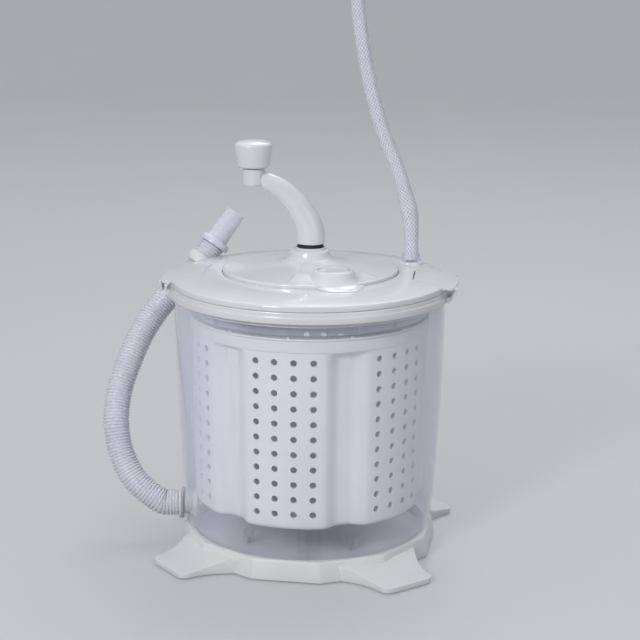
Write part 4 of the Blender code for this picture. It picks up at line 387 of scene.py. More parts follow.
@dataclass(frozen=True)
class MilkyVinyl(Finish):
    """A soft see-through vinyl, plain or over a white braid, with a pattern that follows the hose."""

    shade: tuple[int, int, int]
    roughness: float
    clearness: float
    weave: Weave = Weave.NONE
    yarn_colour: tuple[int, int, int] = (250, 250, 252)
    strands: int = 14
    lay: float = 1450.0

    def material(self) -> bpy.types.Material:
        """Builds the node material.

        Returns:
            The material.
        """
        shader = Shader(self.name, linear(*self.colour), self.roughness)
        cloud = shader.spread(shader.noise(22.0, 3.0), 0.3, 0.7, 0.0, 1.0)
        colour = shader.tint(cloud, linear(*self.colour), linear(*self.shade))
        shader.plain(Transmission_Weight=self.clearness, IOR=1.4, Coat_Weight=0.5, Coat_Roughness=0.12)
        shader.glow(0.5, 0.005)
        if self.weave is Weave.BRAID:
            yarn = self.yarn(shader)
            colour = shader.tint(yarn, colour, linear(*self.yarn_colour))
            shader.emboss(yarn, 0.0003, 0.5)
        shader.drive("Base Color", colour)
        wear = shader.spread(shader.noise(160.0, 5.0), 0.4, 0.75, self.roughness, self.roughness + 0.16)
        shader.drive("Roughness", wear)
        shader.emboss(shader.noise(260.0, 3.0), 0.0001, 0.3)
        return shader.material

    def yarn(self, shader: Shader) -> Socket:
        """Two sets of yarns wound against each other.

        Args:
            shader: The material they are drawn in.

        Returns:
            The pattern, which is 1 on a yarn.
        """
        readings = []
        for name in ("around_x", "around_y", "distance"):
            node = shader.nodes.new("ShaderNodeAttribute")
            node.attribute_name = name
            readings.append(node.outputs["Fac"])
        angle = shader.maths("ARCTAN2", readings[1], readings[0])
        around = shader.maths("MULTIPLY", angle, float(self.strands))
        forward = shader.maths("MULTIPLY", readings[2], self.lay)
        right = shader.maths("SINE", shader.maths("ADD", around, forward))
        left = shader.maths("SINE", shader.maths("SUBTRACT", around, forward))
        return shader.spread(shader.maths("MAXIMUM", right, left), 0.55, 0.9, 0.0, 1.0)


@dataclass(frozen=True)
class SoftRubber(Finish):
    """A matt rubber with a dusty bloom."""

    def material(self) -> bpy.types.Material:
        """Builds the node material.

        Returns:
            The material.
        """
        shader = Shader(self.name, linear(*self.colour), 0.7)
        bloom = shader.spread(shader.noise(70.0, 5.0), 0.45, 0.75, 0.0, 0.5)
        dust = tuple(min(1.0, value * 1.6 + 0.02) for value in linear(*self.colour))
        shader.drive("Base Color", shader.tint(bloom, linear(*self.colour), dust))
        shader.drive("Roughness", shader.spread(bloom, 0.0, 0.5, 0.55, 0.85))
        shader.emboss(shader.noise(1200.0, 2.0), 0.0001, 0.6)
        return shader.material


@dataclass(frozen=True)
class TurnedMetal(Finish):
    """A machined metal with tool marks round its axis and a little tarnish."""

    tarnish: tuple[int, int, int]
    roughness: float

    def material(self) -> bpy.types.Material:
        """Builds the node material.

        Returns:
            The material.
        """
        shader = Shader(self.name, linear(*self.colour), self.roughness)
        shader.plain(Metallic=1.0)
        stain = shader.spread(shader.noise(130.0, 6.0), 0.5, 0.75, 0.0, 0.8)
        shader.drive("Base Color", shader.tint(stain, linear(*self.colour), linear(*self.tarnish)))
        marks = shader.noise(500.0, 3.0, (0.15, 0.15, 6.0))
        shader.drive("Roughness", shader.spread(marks, 0.3, 0.7, self.roughness, self.roughness + 0.18))
        shader.emboss(marks, 0.0001, 0.3)
        return shader.material


class Look(Enum):
    """The finishes that the machine's pieces take."""

    GLOSS = MouldedPlastic("gloss white", "gloss_white", (226, 226, 229), (220, 221, 224), 0.17, 0.00003, 0.4)
    SATIN = MouldedPlastic("satin white", "satin_white", (226, 226, 226), (219, 219, 219), 0.38, 0.00008)
    BASKET = MouldedPlastic(
        "basket white", "basket_white", (247, 248, 254), (241, 242, 251), 0.45, 0.00006, 0.0, 0.2
    )
    TUB = ClearPlastic("clear tub", "clear_tub", (222, 229, 246), 0.06, 0.08, 0.72)
    RING = ClearPlastic("frosted ring", "clear_ring", (206, 214, 232), 0.22, 0.28, 0.85)
    HOSE = MilkyVinyl("milky ribbed vinyl", "hose_vinyl", (228, 229, 242), (218, 219, 234), 0.26, 0.10)
    BRAID = MilkyVinyl(
        "braided vinyl", "braided_vinyl", (206, 208, 224), (196, 199, 217), 0.2, 0.10, Weave.BRAID
    )
    BLACK = SoftRubber("black rubber", "black_rubber", (28, 27, 28))
    GREY = SoftRubber("grey rubber", "grey_rubber", (186, 187, 194))
    NYLON = MouldedPlastic("natural nylon", "gear_nylon", (232, 229, 216), (224, 220, 204), 0.42, 0.00008)
    BRONZE = TurnedMetal("sintered bronze", "bearing_bronze", (176, 136, 84), (128, 94, 58), 0.42)
    STEEL = TurnedMetal("bright steel", "steel", (190, 190, 192), (150, 148, 146), 0.22)
    BRASS = TurnedMetal("plain brass", "tap_brass", (214, 180, 112), (176, 138, 76), 0.24)

    def material(self) -> bpy.types.Material:
        """The node material of this finish, built once."""
        finish: Finish = self.value
        return bpy.data.materials.get(finish.name) or finish.material()


# Shaping


def spin_round(bm: bmesh.types.BMesh, steps: int) -> None:
    """Spins a line of edges a full turn about Z and welds it.

    Args:
        bm: The mesh that holds the line.
        steps: How many steps the turn takes.
    """
    bmesh.ops.spin(
        bm,
        geom=bm.verts[:] + bm.edges[:],
        cent=(0, 0, 0),
        axis=(0, 0, 1),
        dvec=(0, 0, 0),
        angle=FULL_TURN,
        steps=steps,
        use_merge=True,
    )
    bmesh.ops.remove_doubles(bm, verts=bm.verts[:], dist=WELD)


class Blank:
    """A piece of mesh that is being shaped with bmesh operators."""

    rounding_steps = 3

    def __init__(self) -> None:
        """Starts with nothing in it."""
        self.bm = bmesh.new()

    def spin(self, profile: Profile, steps: int, closed: bool = True, frame: Matrix = UPRIGHT) -> "Blank":
        """Spins a profile about Z.

        Args:
            profile: (radius, height) of each corner, with a third number for its rounding.
            steps: How many steps the full turn takes.
            closed: True if the profile closes on itself and doesn't touch the axis.
            frame: Where the finished piece goes.

        Returns:
            This blank.
        """
        bm = bmesh.new()
        corners = [bm.verts.new((corner[0], 0.0, corner[1])) for corner in profile]
        for start, end in zip(corners, corners[1:]):
            bm.edges.new((start, end))
        if closed:
            bm.edges.new((corners[-1], corners[0]))
        for corner, row in zip(corners, profile):
            if len(row) > 2:
                bmesh.ops.bevel(
                    bm,
                    geom=[corner],
                    offset=row[2],
                    segments=self.rounding_steps,
                    profile=0.5,
                    affect="VERTICES",
                    material=-1,
                )
        spin_round(bm, steps)
        bmesh.ops.recalc_face_normals(bm, faces=bm.faces[:])
        return self.take(bm, frame)

    def rod(
        self,
        radius: float,
        low: float,
        high: float,
        sides: int = 48,
        frame: Matrix = UPRIGHT,
        top_radius: float | None = None,
        phase: float = 0.0,
    ) -> "Blank":
        """Adds a rod or a cone along Z.

        Args:
            radius: Its radius.
            low: The height of its lower end.
            high: The height of its upper end.
            sides: How many sides it has.
            frame: Where it goes.
            top_radius: Its radius at the upper end, where it is a cone.
            phase: How far it is turned about its own axis.

        Returns:
            This blank.
        """
        bm = bmesh.new()
        bmesh.ops.create_cone(
            bm,
            cap_ends=True,
            segments=sides,
            radius1=radius,
            radius2=radius if top_radius is None else top_radius,
            depth=high - low,
            matrix=at((0, 0, (low + high) / 2)) @ turned(phase),
        )
        return self.take(bm, frame)

    def rods(self, radius: float, low: float, high: float, sides: int, frames: Iterable[Matrix]) -> "Blank":
        """Adds a row of like rods.

        Args:
            radius: Their radius.
            low: The height of their lower ends.
            high: The height of their upper ends.
            sides: How many sides each has.
            frames: Where each goes.

        Returns:
            This blank.
        """
        for frame in frames:
            self.rod(radius, low, high, sides, frame)
        return self

    def slab(
        self, outline: Sequence[Sequence[float]], low: float, high: float, frame: Matrix = UPRIGHT
    ) -> "Blank":
        """Adds a flat outline that is drawn up into a slab.

        Args:
            outline: The corners of the outline.
            low: The height of its lower face.
            high: The height of its upper face.
            frame: Where it goes.

        Returns:
            This blank.
        """
        bm = bmesh.new()
        face = bm.faces.new([bm.verts.new((x, y, low)) for x, y in outline])
        raised = bmesh.ops.extrude_face_region(bm, geom=[face])["geom"]
        upper = [item for item in raised if isinstance(item, bmesh.types.BMVert)]
        bmesh.ops.translate(bm, vec=(0, 0, high - low), verts=upper)
        bmesh.ops.recalc_face_normals(bm, faces=bm.faces[:])
        return self.take(bm, frame)

    def box(self, size: Sequence[float], frame: Matrix = UPRIGHT) -> "Blank":
        """Adds a box about a frame's origin.

        Args:
            size: Its three sizes.
            frame: Where it goes.

        Returns:
            This blank.
        """
        bm = bmesh.new()
        bmesh.ops.create_cube(bm, size=1.0, matrix=Matrix.Diagonal((*size, 1.0)))
        return self.take(bm, frame)

    def sweep(
        self, points: Sequence[Vector], radii: Sequence[float], sides: int, bore: float = 0.0
    ) -> "Blank":
        """Carries a circle along a line, and marks each point's side and distance for the patterns.

        Args:
            points: The middle line.
            radii: The radius at each point.
            sides: How many sides the circle has.
            bore: The radius of the hollow inside, or 0 for none.

        Returns:
            This blank.
        """
        bm = bmesh.new()
        names = ("around_x", "around_y", "distance")
        marks = [bm.verts.layers.float.new(name) for name in names]
        frames = carried_frames(points)
        stations = list(zip(frames, radii))
        if bore:
            stations += [(frame, bore) for frame in reversed(frames)]
        distances = [0.0]
        for start, end in zip(stations, stations[1:]):
            distances.append(distances[-1] + (end[0].translation - start[0].translation).length)
        made = bmesh.ops.create_circle(bm, segments=sides, radius=1.0)["verts"]
        before = UPRIGHT
        first = ring = list({edge for vert in made for edge in vert.link_edges})
        for place, ((frame, radius), distance) in enumerate(zip(stations, distances)):
            if place:
                moved = bmesh.ops.extrude_edge_only(bm, edges=ring)["geom"]
                ring = [item for item in moved if isinstance(item, bmesh.types.BMEdge)]
                made = [item for item in moved if isinstance(item, bmesh.types.BMVert)]
            shape = frame @ Matrix.Diagonal((radius, radius, radius, 1.0))
            bmesh.ops.transform(bm, matrix=shape @ before.inverted(), verts=made)
            before = shape
            unturned = shape.inverted()
            for vert in made:
                side = unturned @ vert.co
                vert[marks[0]], vert[marks[1]], vert[marks[2]] = side.x, side.y, distance
        if bore:
            bmesh.ops.bridge_loops(bm, edges=first + ring)
        else:
            bmesh.ops.holes_fill(bm, edges=first + ring, sides=0)
        bmesh.ops.recalc_face_normals(bm, faces=bm.faces[:])
        return self.take(bm, UPRIGHT)

    def take(self, bm: bmesh.types.BMesh, frame: Matrix) -> "Blank":
        """Adds another mesh, and frees it.

        Args:
            bm: The mesh.
            frame: Where it goes.

        Returns:
            This blank.
        """
        mesh = bpy.data.meshes.new("blank")
        bmesh.ops.transform(bm, matrix=frame, verts=bm.verts[:])
        bm.to_mesh(mesh)
        bm.free()
        self.bm.from_mesh(mesh)
        bpy.data.meshes.remove(mesh)
        return self

    def soften(self, width: float, angle: float = 0.5, steps: int = 2) -> "Blank":
        """Rounds every edge that is sharper than an angle.

        Args:
            width: How far each rounding reaches.
            angle: The least angle that is rounded.
            steps: How many facets a rounding has.

        Returns:
            This blank.
        """
        sharp = [edge for edge in self.bm.edges if edge.is_manifold and edge.calc_face_angle() > angle]
        bmesh.ops.bevel(
            self.bm,
            geom=sharp,
            offset=width,
            segments=steps,
            profile=0.5,
            affect="EDGES",
            clamp_overlap=True,
            material=-1,
        )
        return self

    def combine(self, operation: str, *others: "Blank") -> "Blank":
        """Joins this blank with others or cuts it by them, in order.

        Args:
            operation: UNION, DIFFERENCE or INTERSECT.
            *others: The other blanks.

        Returns:
            This blank.
        """
        body = self.stand_in()
        helpers = [other.stand_in() for other in others]
        for helper in helpers:
            step = body.modifiers.new("step", "BOOLEAN")
            step.object, step.operation, step.solver = helper, operation, "EXACT"
        mesh = bpy.data.meshes.new_from_object(body.evaluated_get(bpy.context.evaluated_depsgraph_get()))
        self.bm.clear()
        self.bm.from_mesh(mesh)
        for item in (body, *helpers):
            old = item.data
            bpy.data.objects.remove(item)
            bpy.data.meshes.remove(old)
        bpy.data.meshes.remove(mesh)
        return self

    def stand_in(self) -> bpy.types.Object:
        """Makes a passing object of the mesh.

        Returns:
            The object.
        """
        mesh = bpy.data.meshes.new("stand_in")
        self.bm.to_mesh(mesh)
        thing = bpy.data.objects.new("stand_in", mesh)
        bpy.context.scene.collection.objects.link(thing)
        return thing

    def place(self, name: str, body: str, look: Look, *nodes: str, crease: float = 32.0) -> bpy.types.Object:
        """Finishes the piece as an object that rides on a body.

        Args:
            name: The piece's name.
            body: The body that it moves with.
            look: Its finish.
            *nodes: The solids that it stands for.
            crease: The angle in degrees past which an edge stays sharp.

        Returns:
            The finished object.
        """
        bmesh.ops.remove_doubles(self.bm, verts=self.bm.verts[:], dist=WELD)
        mesh = bpy.data.meshes.new(name)
        self.bm.to_mesh(mesh)
        self.bm.free()
        mesh.shade_smooth()
        mesh.set_sharp_from_angle(angle=math.radians(crease))
        mesh.materials.clear()
        mesh.materials.append(look.material())
        piece = bpy.data.objects.new(name, mesh)
        bpy.context.scene.collection.objects.link(piece)
        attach(piece, body)
        if nodes:
            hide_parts(*nodes)
        LOG.info("%s: %d faces, %s, for %s", name, len(mesh.polygons), look.value.name, ", ".join(nodes))
        return piece


def carried_frames(points: Sequence[Vector]) -> list[Matrix]:
    """Frames along a line that don't twist round it.

    Args:
        points: The line.

    Returns:
        One frame at each point, with its Z along the line.
    """
    frames = []
    side = Vector((0, 0, 0))
    for place, point in enumerate(points):
        ahead = points[min(place + 1, len(points) - 1)] - points[max(place - 1, 0)]
        ahead = ahead.normalized()
        if not frames:
            side = ahead.orthogonal().normalized()
        side = (side - ahead * side.dot(ahead)).normalized()
        turn = Matrix((side, ahead.cross(side), ahead)).transposed().to_4x4()
        frames.append(at(point) @ turn)
    return frames


def smooth_route(route: Sequence[Sequence[float]], steps: int) -> list[Vector]:
    """Points at even distances along a route that is straight at both ends.

    Args:
        route: The end, the straight part's end, the knots, and the same at the far end.
        steps: How many equal steps it is cut into.

    Returns:
        The points, one more than the steps.
    """
    pieces, tiny = 24, 1e-12
    first, *knots, last = [Vector(point) for point in route]
    lead_in = (knots[0] - first).normalized() * (knots[1] - knots[0]).length
    lead_out = (last - knots[-1]).normalized() * (knots[-1] - knots[-2]).length
    knots = [knots[1] - 2 * lead_in, *knots, knots[-2] + 2 * lead_out]
    dense = [first]
    for before, start, end, after in zip(knots, knots[1:], knots[2:], knots[3:]):
        for step in range(pieces):
            share = step / pieces
            dense.append(
                (
                    2 * start
                    + (end - before) * share
                    + (2 * before - 5 * start + 4 * end - after) * share**2
                    + (3 * start - before - 3 * end + after) * share**3
                )
                / 2
            )
    dense += [knots[-2], last]
    lengths = [0.0]
    for start, end in zip(dense, dense[1:]):
        lengths.append(lengths[-1] + (end - start).length)
    line, index = [], 1
    for step in range(steps + 1):
        distance = lengths[-1] * step / steps
        while index < len(dense) - 1 and lengths[index] < distance:
            index += 1
        share = (distance - lengths[index - 1]) / max(lengths[index] - lengths[index - 1], tiny)
        line.append(dense[index - 1].lerp(dense[index], min(share, 1.0)))
    return line


def line_length(points: Sequence[Vector]) -> float:
    """The length of a line of points."""
    return sum((end - start).length for start, end in zip(points, points[1:]))


# Camera, floor and lamps


@dataclass(frozen=True)
class Studio:
    """A pale floor that curves up into a backdrop, soft lamps, and the camera at the shown angle."""

    azimuth: float = math.radians(10.0)
    distance: float = 1.5424
    height: float = 0.5881
    pitch: float = math.radians(13.465)
    yaw: float = math.radians(-0.351)
    roll: float = math.radians(0.395)
    lens: float = 93.93
    sensor: float = 36.0
    far_limit: float = 20.0
    floor_reach: float = 4.0
    backdrop_curve: float = 1.2
    backdrop_steps: int = 12
    backdrop_top: float = 4.0
    floor_colour: tuple[int, int, int] = (160, 161, 164)
    floor_glow: float = 0.20
    sky_colour: tuple[float, float, float, float] = (0.95, 0.97, 1.0, 1.0)
    sky_strength: float = 0.80
    aim_height: float = 0.2
    lamps: tuple[tuple[str, tuple[float, float, float], float, float], ...] = (
        ("key", (-0.9, -2.3, 1.35), 0.5, 31.0),
        ("fill", (2.0, -1.5, 0.7), 1.6, 7.0),
        ("top", (0.2, 1.3, 2.4), 1.4, 18.0),
    )

    def build(self) -> None:
        """Makes the camera, the floor and the lamps."""
        self.make_camera()
        self.make_floor()
        self.make_lamps()

    def make_camera(self) -> None:
        """Stands the camera where the machine was seen from."""
        right = Vector((math.cos(self.yaw), math.sin(self.yaw), 0))
        level = Vector((-math.sin(self.yaw), math.cos(self.yaw), 0))
        ahead = level * math.cos(self.pitch) - Vector((0, 0, math.sin(self.pitch)))
        above = level * math.sin(self.pitch) + Vector((0, 0, math.cos(self.pitch)))
        cosine, sine = math.cos(self.roll), math.sin(self.roll)
        axes = Matrix((right * cosine + above * sine, above * cosine - right * sine, -ahead)).transposed()
        camera = bpy.data.objects.new("camera", bpy.data.cameras.new("camera"))
        camera.data.sensor_width = self.sensor
        camera.data.lens = self.lens
        camera.data.clip_end = self.far_limit
        camera.matrix_world = turned(self.azimuth) @ at((0, -self.distance, self.height)) @ axes.to_4x4()
        bpy.context.scene.collection.objects.link(camera)
        bpy.context.scene.camera = camera

    def make_floor(self) -> None:
        """Spins a floor that curves up into a round backdrop."""
        bm = bmesh.new()
        rows = [(0.0, 0.0), (self.floor_reach, 0.0)]
        for step in range(1, self.backdrop_steps + 1):
            turn = math.pi / 2 * step / self.backdrop_steps
            radius = self.floor_reach + self.backdrop_curve * math.sin(turn)
            rows.append((radius, self.backdrop_curve * (1 - math.cos(turn))))
        rows.append((rows[-1][0], self.backdrop_top))
        corners = [bm.verts.new((radius, 0.0, height)) for radius, height in rows]
        for start, end in zip(corners, corners[1:]):
            bm.edges.new((start, end))
        spin_round(bm, 96)
        mesh = bpy.data.meshes.new("floor")
        bm.to_mesh(mesh)
        bm.free()
        mesh.shade_smooth()
        shader = Shader("pale floor", linear(*self.floor_colour), 0.6)
        shader.drive("Roughness", shader.spread(shader.noise(3.0, 3.0), 0.3, 0.7, 0.55, 0.65))
        ray = shader.nodes.new("ShaderNodeLightPath").outputs
        seen = shader.maths("ADD", ray["Is Camera Ray"], ray["Is Glossy Ray"])
        seen = shader.maths("ADD", seen, ray["Is Transmission Ray"])
        shader.drive("Emission Strength", shader.maths("MULTIPLY", seen, self.floor_glow))
        shader.plain(Emission_Color=(1.0, 1.0, 1.0, 1.0))
        mesh.materials.append(shader.material)
        floor = bpy.data.objects.new("floor", mesh)
        bpy.context.scene.collection.objects.link(floor)

    def make_lamps(self) -> None:
        """Hangs soft lamps round the machine, and lights the room evenly."""
        world = bpy.data.worlds.new("room")
        world.use_nodes = True
        sky = world.node_tree.nodes["Background"].inputs
        sky["Color"].default_value = self.sky_colour
        sky["Strength"].default_value = self.sky_strength
        bpy.context.scene.world = world
        for name, place, size, power in self.lamps:
            lamp = bpy.data.lights.new(name, "AREA")
            lamp.size, lamp.energy = size, power
            thing = bpy.data.objects.new(name, lamp)
            thing.matrix_world = along(place, Vector(place) - Vector((0, 0, self.aim_height)))
            bpy.context.scene.collection.objects.link(thing)


# Hoses and their fittings


@dataclass
class DrainLine:
    """The ribbed drain hose, from the tub's foot up to the clip beside the lid, with its connector."""

    azimuth: float = DRAIN_AZIMUTH
    height: float = DRAIN_HEIGHT
    face: float = 0.1264
    straight: float = 0.012
    end_straight: float = 0.026
    crest: float = 0.0130
    root: float = 0.0116
    bore: float = 0.0095
    ribs: int = 105
    rib_rings: int = 5
    sides: int = 32
    end: tuple[float, float, float] = (-0.1162, 0.0923, 0.2690)
    end_direction: tuple[float, float, float] = (0.51, 0.33, 0.79)
    collar_radius: float = 0.0155
    collar_length: float = 0.007
    tube_radius: float = 0.0105
    tube_length: float = 0.033
    tube_wall: float = 0.0018
    clip_back: float = 0.019
    clip_wall: float = 0.0022
    clip_half: float = 0.005
    clip_opening: float = math.radians(80)
    clip_steps: int = 48
    arm_size: tuple[float, float] = (0.008, 0.006)
    arm_start: float = 0.1328
    arm_height: float = 0.2501
    route: tuple[tuple[float, float, float], ...] = (
        (-0.1505, -0.0261, 0.0428),
        (-0.1690, -0.0250, 0.0590),
        (-0.1830, -0.0185, 0.0820),
        (-0.1900, -0.0095, 0.1090),
        (-0.1905, 0.0040, 0.1360),
        (-0.1850, 0.0180, 0.1610),
        (-0.1765, 0.0350, 0.1870),
        (-0.1665, 0.0500, 0.2060),
        (-0.1560, 0.0620, 0.2200),
        (-0.1430, 0.0745, 0.2330),
    )

    def build(self) -> None:
        """Makes the hose, its connector and the clip, and measures the hose."""
        connector = self.make_connector()
        self.make_clip()
        hose = self.make_hose()
        path = self.line(38)
        length = line_length(self.line(self.ribs * self.rib_rings))
        LOG.info("drain hose is %.0f mm long", length * 1000)

    def line(self, steps: int) -> list[Vector]:
        """The hose's middle line, in equal steps.

        Args:
            steps: How many steps there are.

        Returns:
            The points, one more than the steps.
        """
        outwards = polar(1.0, self.azimuth)
        start = outwards * self.face + Vector((0, 0, self.height))
        end, direction = Vector(self.end), Vector(self.end_direction).normalized()
        inner = (start + outwards * self.straight, end - direction * self.end_straight)
        return smooth_route((start, inner[0], *self.route, inner[1], end), steps)

    def make_hose(self) -> bpy.types.Object:
        """Sweeps the ribbed wall round its bore.

        Returns:
            The hose.
        """
        steps = self.ribs * self.rib_rings
        radii = []
        for step in range(steps + 1):
            wave = 0.5 - 0.5 * math.cos(FULL_TURN * step / self.rib_rings)
            radii.append(self.root + (self.crest - self.root) * wave)
        blank = Blank().sweep(self.line(steps), radii, self.sides, self.bore)
        return blank.place("ribbed_drain_hose", "root", Look.HOSE, "drain_hose", crease=80.0)

    def make_connector(self) -> bpy.types.Object:
        """Spins the milky connector at the hose's upper end.

        Returns:
            The connector.
        """
        low, step = FIT, FIT + self.collar_length
        top, inside = step + self.tube_length, self.tube_radius - self.tube_wall
        profile = (
            (inside, low),
            (self.collar_radius, low, 0.0012),
            (self.collar_radius, step, 0.0022),
            (self.tube_radius + 0.0004, step, 0.0006),
            (self.tube_radius - 0.0002, top - 0.004),
            (self.tube_radius, top, 0.0005),
            (inside, top, 0.0005),
        )
        blank = Blank().spin(profile, 72, frame=along(self.end, self.end_direction))
        return blank.place("hose_connector", "root", Look.HOSE, "drain_connector")

    def make_clip(self) -> None:
        """Bends the open clip round the hose, with its arm to the collar."""
        direction = Vector(self.end_direction).normalized()
        centre = Vector(self.end) - direction * self.clip_back
        azimuth = math.atan2(centre.y, centre.x)
        across = polar(1.0, azimuth)
        across = (across - direction * across.dot(direction)).normalized()
        frame = at(centre) @ Matrix((across, direction.cross(across), direction)).transposed().to_4x4()
        inner, outer = self.crest + FIT, self.crest + FIT + self.clip_wall
        steps, bent = self.clip_steps, FULL_TURN - self.clip_opening
        turns = [self.clip_opening / 2 + bent * step / steps for step in range(steps + 1)]
        outline = [polar(outer, turn).to_2d() for turn in turns]
        outline += [polar(inner, turn).to_2d() for turn in reversed(turns)]
        clip = Blank().slab(outline, -self.clip_half, self.clip_half, frame).soften(0.0006, 0.7)
        near, far = self.arm_start, centre.to_2d().length - inner
        arm_frame = at(polar((far + near) / 2, azimuth, self.arm_height)) @ turned(azimuth)
        arm = Blank().box((far - near, *self.arm_size), arm_frame).soften(0.0008, 0.7)
        room = Blank().rod(inner, -2 * self.clip_half, 2 * self.clip_half, 64, frame)
        clip.combine("UNION", arm).combine("DIFFERENCE", room)
        clip.place("hose_clip_formed", "root", Look.SATIN, "hose_clip")


@dataclass
class InletLine:
    """The braided inlet hose, which rises from its cup in the lid to the tap connector."""

    azimuth: float = INLET_AZIMUTH
    place_radius: float = INLET_RADIUS
    boss_top: float = 0.2664
    flange_top: float = 0.2683
    radius: float = 0.0070
    straight: float = 0.016
    steps: int = 120
    sides: int = 40
    cup_depth: float = 0.0055
    cup_wall: float = 0.0014
    nozzle_bottom: float = 0.2535
    grips: int = 18
    grip_radius: float = 0.0013
    grip_circle: float = 0.0121
    kink_height: float = 0.3165
    kink_reach: float = 0.012
    kink_share: float = 0.24
    route: tuple[tuple[float, float, float], ...] = (
        (0.0868, 0.0660, 0.3050),
        (0.0815, 0.0652, 0.3300),
        (0.0725, 0.0637, 0.3590),
        (0.0583, 0.0612, 0.3940),
        (0.0460, 0.0590, 0.4380),
        (0.0377, 0.0577, 0.4810),
        (0.0335, 0.0572, 0.5150),
        (0.0318, 0.0570, 0.5320),
    )

    def build(self) -> None:
        """Makes the cup, the hose and the tap connector, and measures the hose."""
        self.make_cup()
        points = self.line(self.steps)
        radii = []
        for point in points:
            nearness = math.exp(-(((point.z - self.kink_height) / self.kink_reach) ** 2))
            radii.append(self.radius * (1 + self.kink_share * nearness))
        blank = Blank().sweep(points, radii, self.sides)
        hose = blank.place("braided_inlet_hose", "lid", Look.BRAID, "inlet_hose")
        connector = self.make_connector(points)
        self.line(34)
        LOG.info("inlet hose is %.0f mm long", line_length(points) * 1000)

    def line(self, steps: int) -> list[Vector]:
        """The hose's middle line, in equal steps."""
        foot = polar(self.place_radius, self.azimuth, self.flange_top + FIT)
        return smooth_route((foot, foot + Vector((0, 0, self.straight)), *self.route), steps)

    def make_cup(self) -> None:
        """Spins the clear nozzle, whose cup holds the hose's foot."""
        cup, top = self.radius + FIT, self.flange_top + self.cup_depth
        profile = (
            (cup, top, 0.0004),
            (cup + self.cup_wall, top, 0.0004),
            (cup + self.cup_wall, self.flange_top, 0.0006),
            (0.0098, self.flange_top, 0.0005),
            (0.0098, self.boss_top + FIT),
            (0.0050, self.boss_top + FIT),
            (0.0050, self.nozzle_bottom, 0.0005),
            (0.0034, self.nozzle_bottom),
            (0.0034, self.flange_top),
            (cup, self.flange_top),
        )
        blank = Blank().spin(profile, 64, frame=at(polar(self.place_radius, self.azimuth)))
        blank.place("inlet_cup", "lid", Look.RING, "inlet_nozzle")

    def make_connector(self, points: Sequence[Vector]) -> bpy.types.Object:
        """Turns the connector that the tap screws into.

        Args:
            points: The hose's middle line, whose last point it stands on.

        Returns:
            The connector.
        """
        frame = along(points[-1], points[-1] - points[-2])
        profile = (
            (0.0, FIT),
            (0.0100, FIT, 0.0006),
            (0.0100, 0.0163, 0.0008),
            (0.0120, 0.0163, 0.0008),
            (0.0120, 0.0363, 0.0008),
            (0.0090, 0.0363, 0.0004),
            (0.0090, 0.0223),
            (0.0, 0.0223),
        )
        connector = Blank().spin(profile, 64, closed=False)
        grips = Blank()
        for azimuth in evenly(self.grips):
            spot = turned(azimuth) @ at((self.grip_circle, 0, 0))
            grips.rod(self.grip_radius, 0.0180, 0.0346, 12, spot)
        connector.combine("UNION", grips)
        bmesh.ops.transform(connector.bm, matrix=frame, verts=connector.bm.verts[:])
        return connector.place("tap_end", "lid", Look.BRASS, "tap_connector")


# Base and tub


@dataclass
class FootedBase:
    """The twelve-sided base with its four swept feet."""

    top: float = 0.0205
    clearance: float = 0.0015
    floor_radius: float = 0.1240
    top_radius: float = 0.1205
    root: float = 0.1080
    shoulder: float = 0.1180
    tip: float = 0.1610
    half_width: float = 0.0282
    flare: float = 0.0170
    corner: float = 0.0095
    root_top: float = 0.0150
    tip_top: float = 0.0063
    foot_angles: tuple[float, ...] = FOOT_AZIMUTHS
    screw_bore: float = 0.0018
    screw_top: float = 0.012
    pad_radius: float = 0.0088
    pad_inset: float = 0.016
    pad_top: float = 0.0033
    seat_radius: float = 0.1128
    seat_floor: float = 0.008
    hollow_radius: float = 0.1135
    hollow_top: float = 0.005

    def build(self) -> None:
        """Joins the ring and the feet, and cuts the tub's seat, the hollow and the pad pockets."""
        phase = math.pi / 12
        base = Blank().rod(self.floor_radius, self.clearance, self.top, 12, UPRIGHT, self.top_radius, phase)
        base.soften(0.0012, 0.3, 3)
        base.combine("UNION", *(self.foot(turned(angle)) for angle in self.foot_angles))
        seat = Blank().rod(self.seat_radius, self.seat_floor, 0.03, 128)
        hollow = Blank().rod(self.hollow_radius, -CUT_PAST, self.hollow_top, 128)
        holes = Blank()
        for angle in self.foot_angles:
            holes.rod(self.screw_bore, -CUT_PAST, self.screw_top, 16, at(polar(BASE_SCREW_RING, angle)))
            pocket = at(polar(self.tip - self.pad_inset, angle))
            holes.rod(self.pad_radius, -CUT_PAST, self.pad_top, 40, pocket)
        base.combine("DIFFERENCE", seat, hollow, holes)
        base.place("footed_base", "root", Look.SATIN, "base")

    def foot(self, turn: Matrix) -> Blank:
        """One foot, swept down from its root to its thin tip.

        Args:
            turn: The turn that points it outwards.

        Returns:
            The foot.
        """
        start = self.tip - self.corner
        side = []
        for step in range(13):
            share = step / 12
            reach = self.root + (start - self.root) * share
            side.append((reach, self.half_width + self.flare * (1 - share) ** 2))
        for step in range(1, 9):
            bend = math.pi / 2 * step / 8
            reach = start + self.corner * math.sin(bend)
            side.append((reach, self.half_width - self.corner * (1 - math.cos(bend))))
        outline = [(x, -y) for x, y in side] + list(reversed(side))
        foot = Blank().slab(outline, self.clearance + STAGGER, self.root_top, turn)
        drop, lowest = self.root_top - self.tip_top, self.tip - 0.003
        run = lowest - self.shoulder
        sweep = (run * run + drop * drop) / (2 * drop)
        axis = along((lowest, 0, self.tip_top + sweep), (0, 1, 0))
        foot.combine("DIFFERENCE", Blank().rod(sweep, -0.06, 0.06, 256, turn @ axis))
        return foot.soften(0.0011, 0.45, 3)


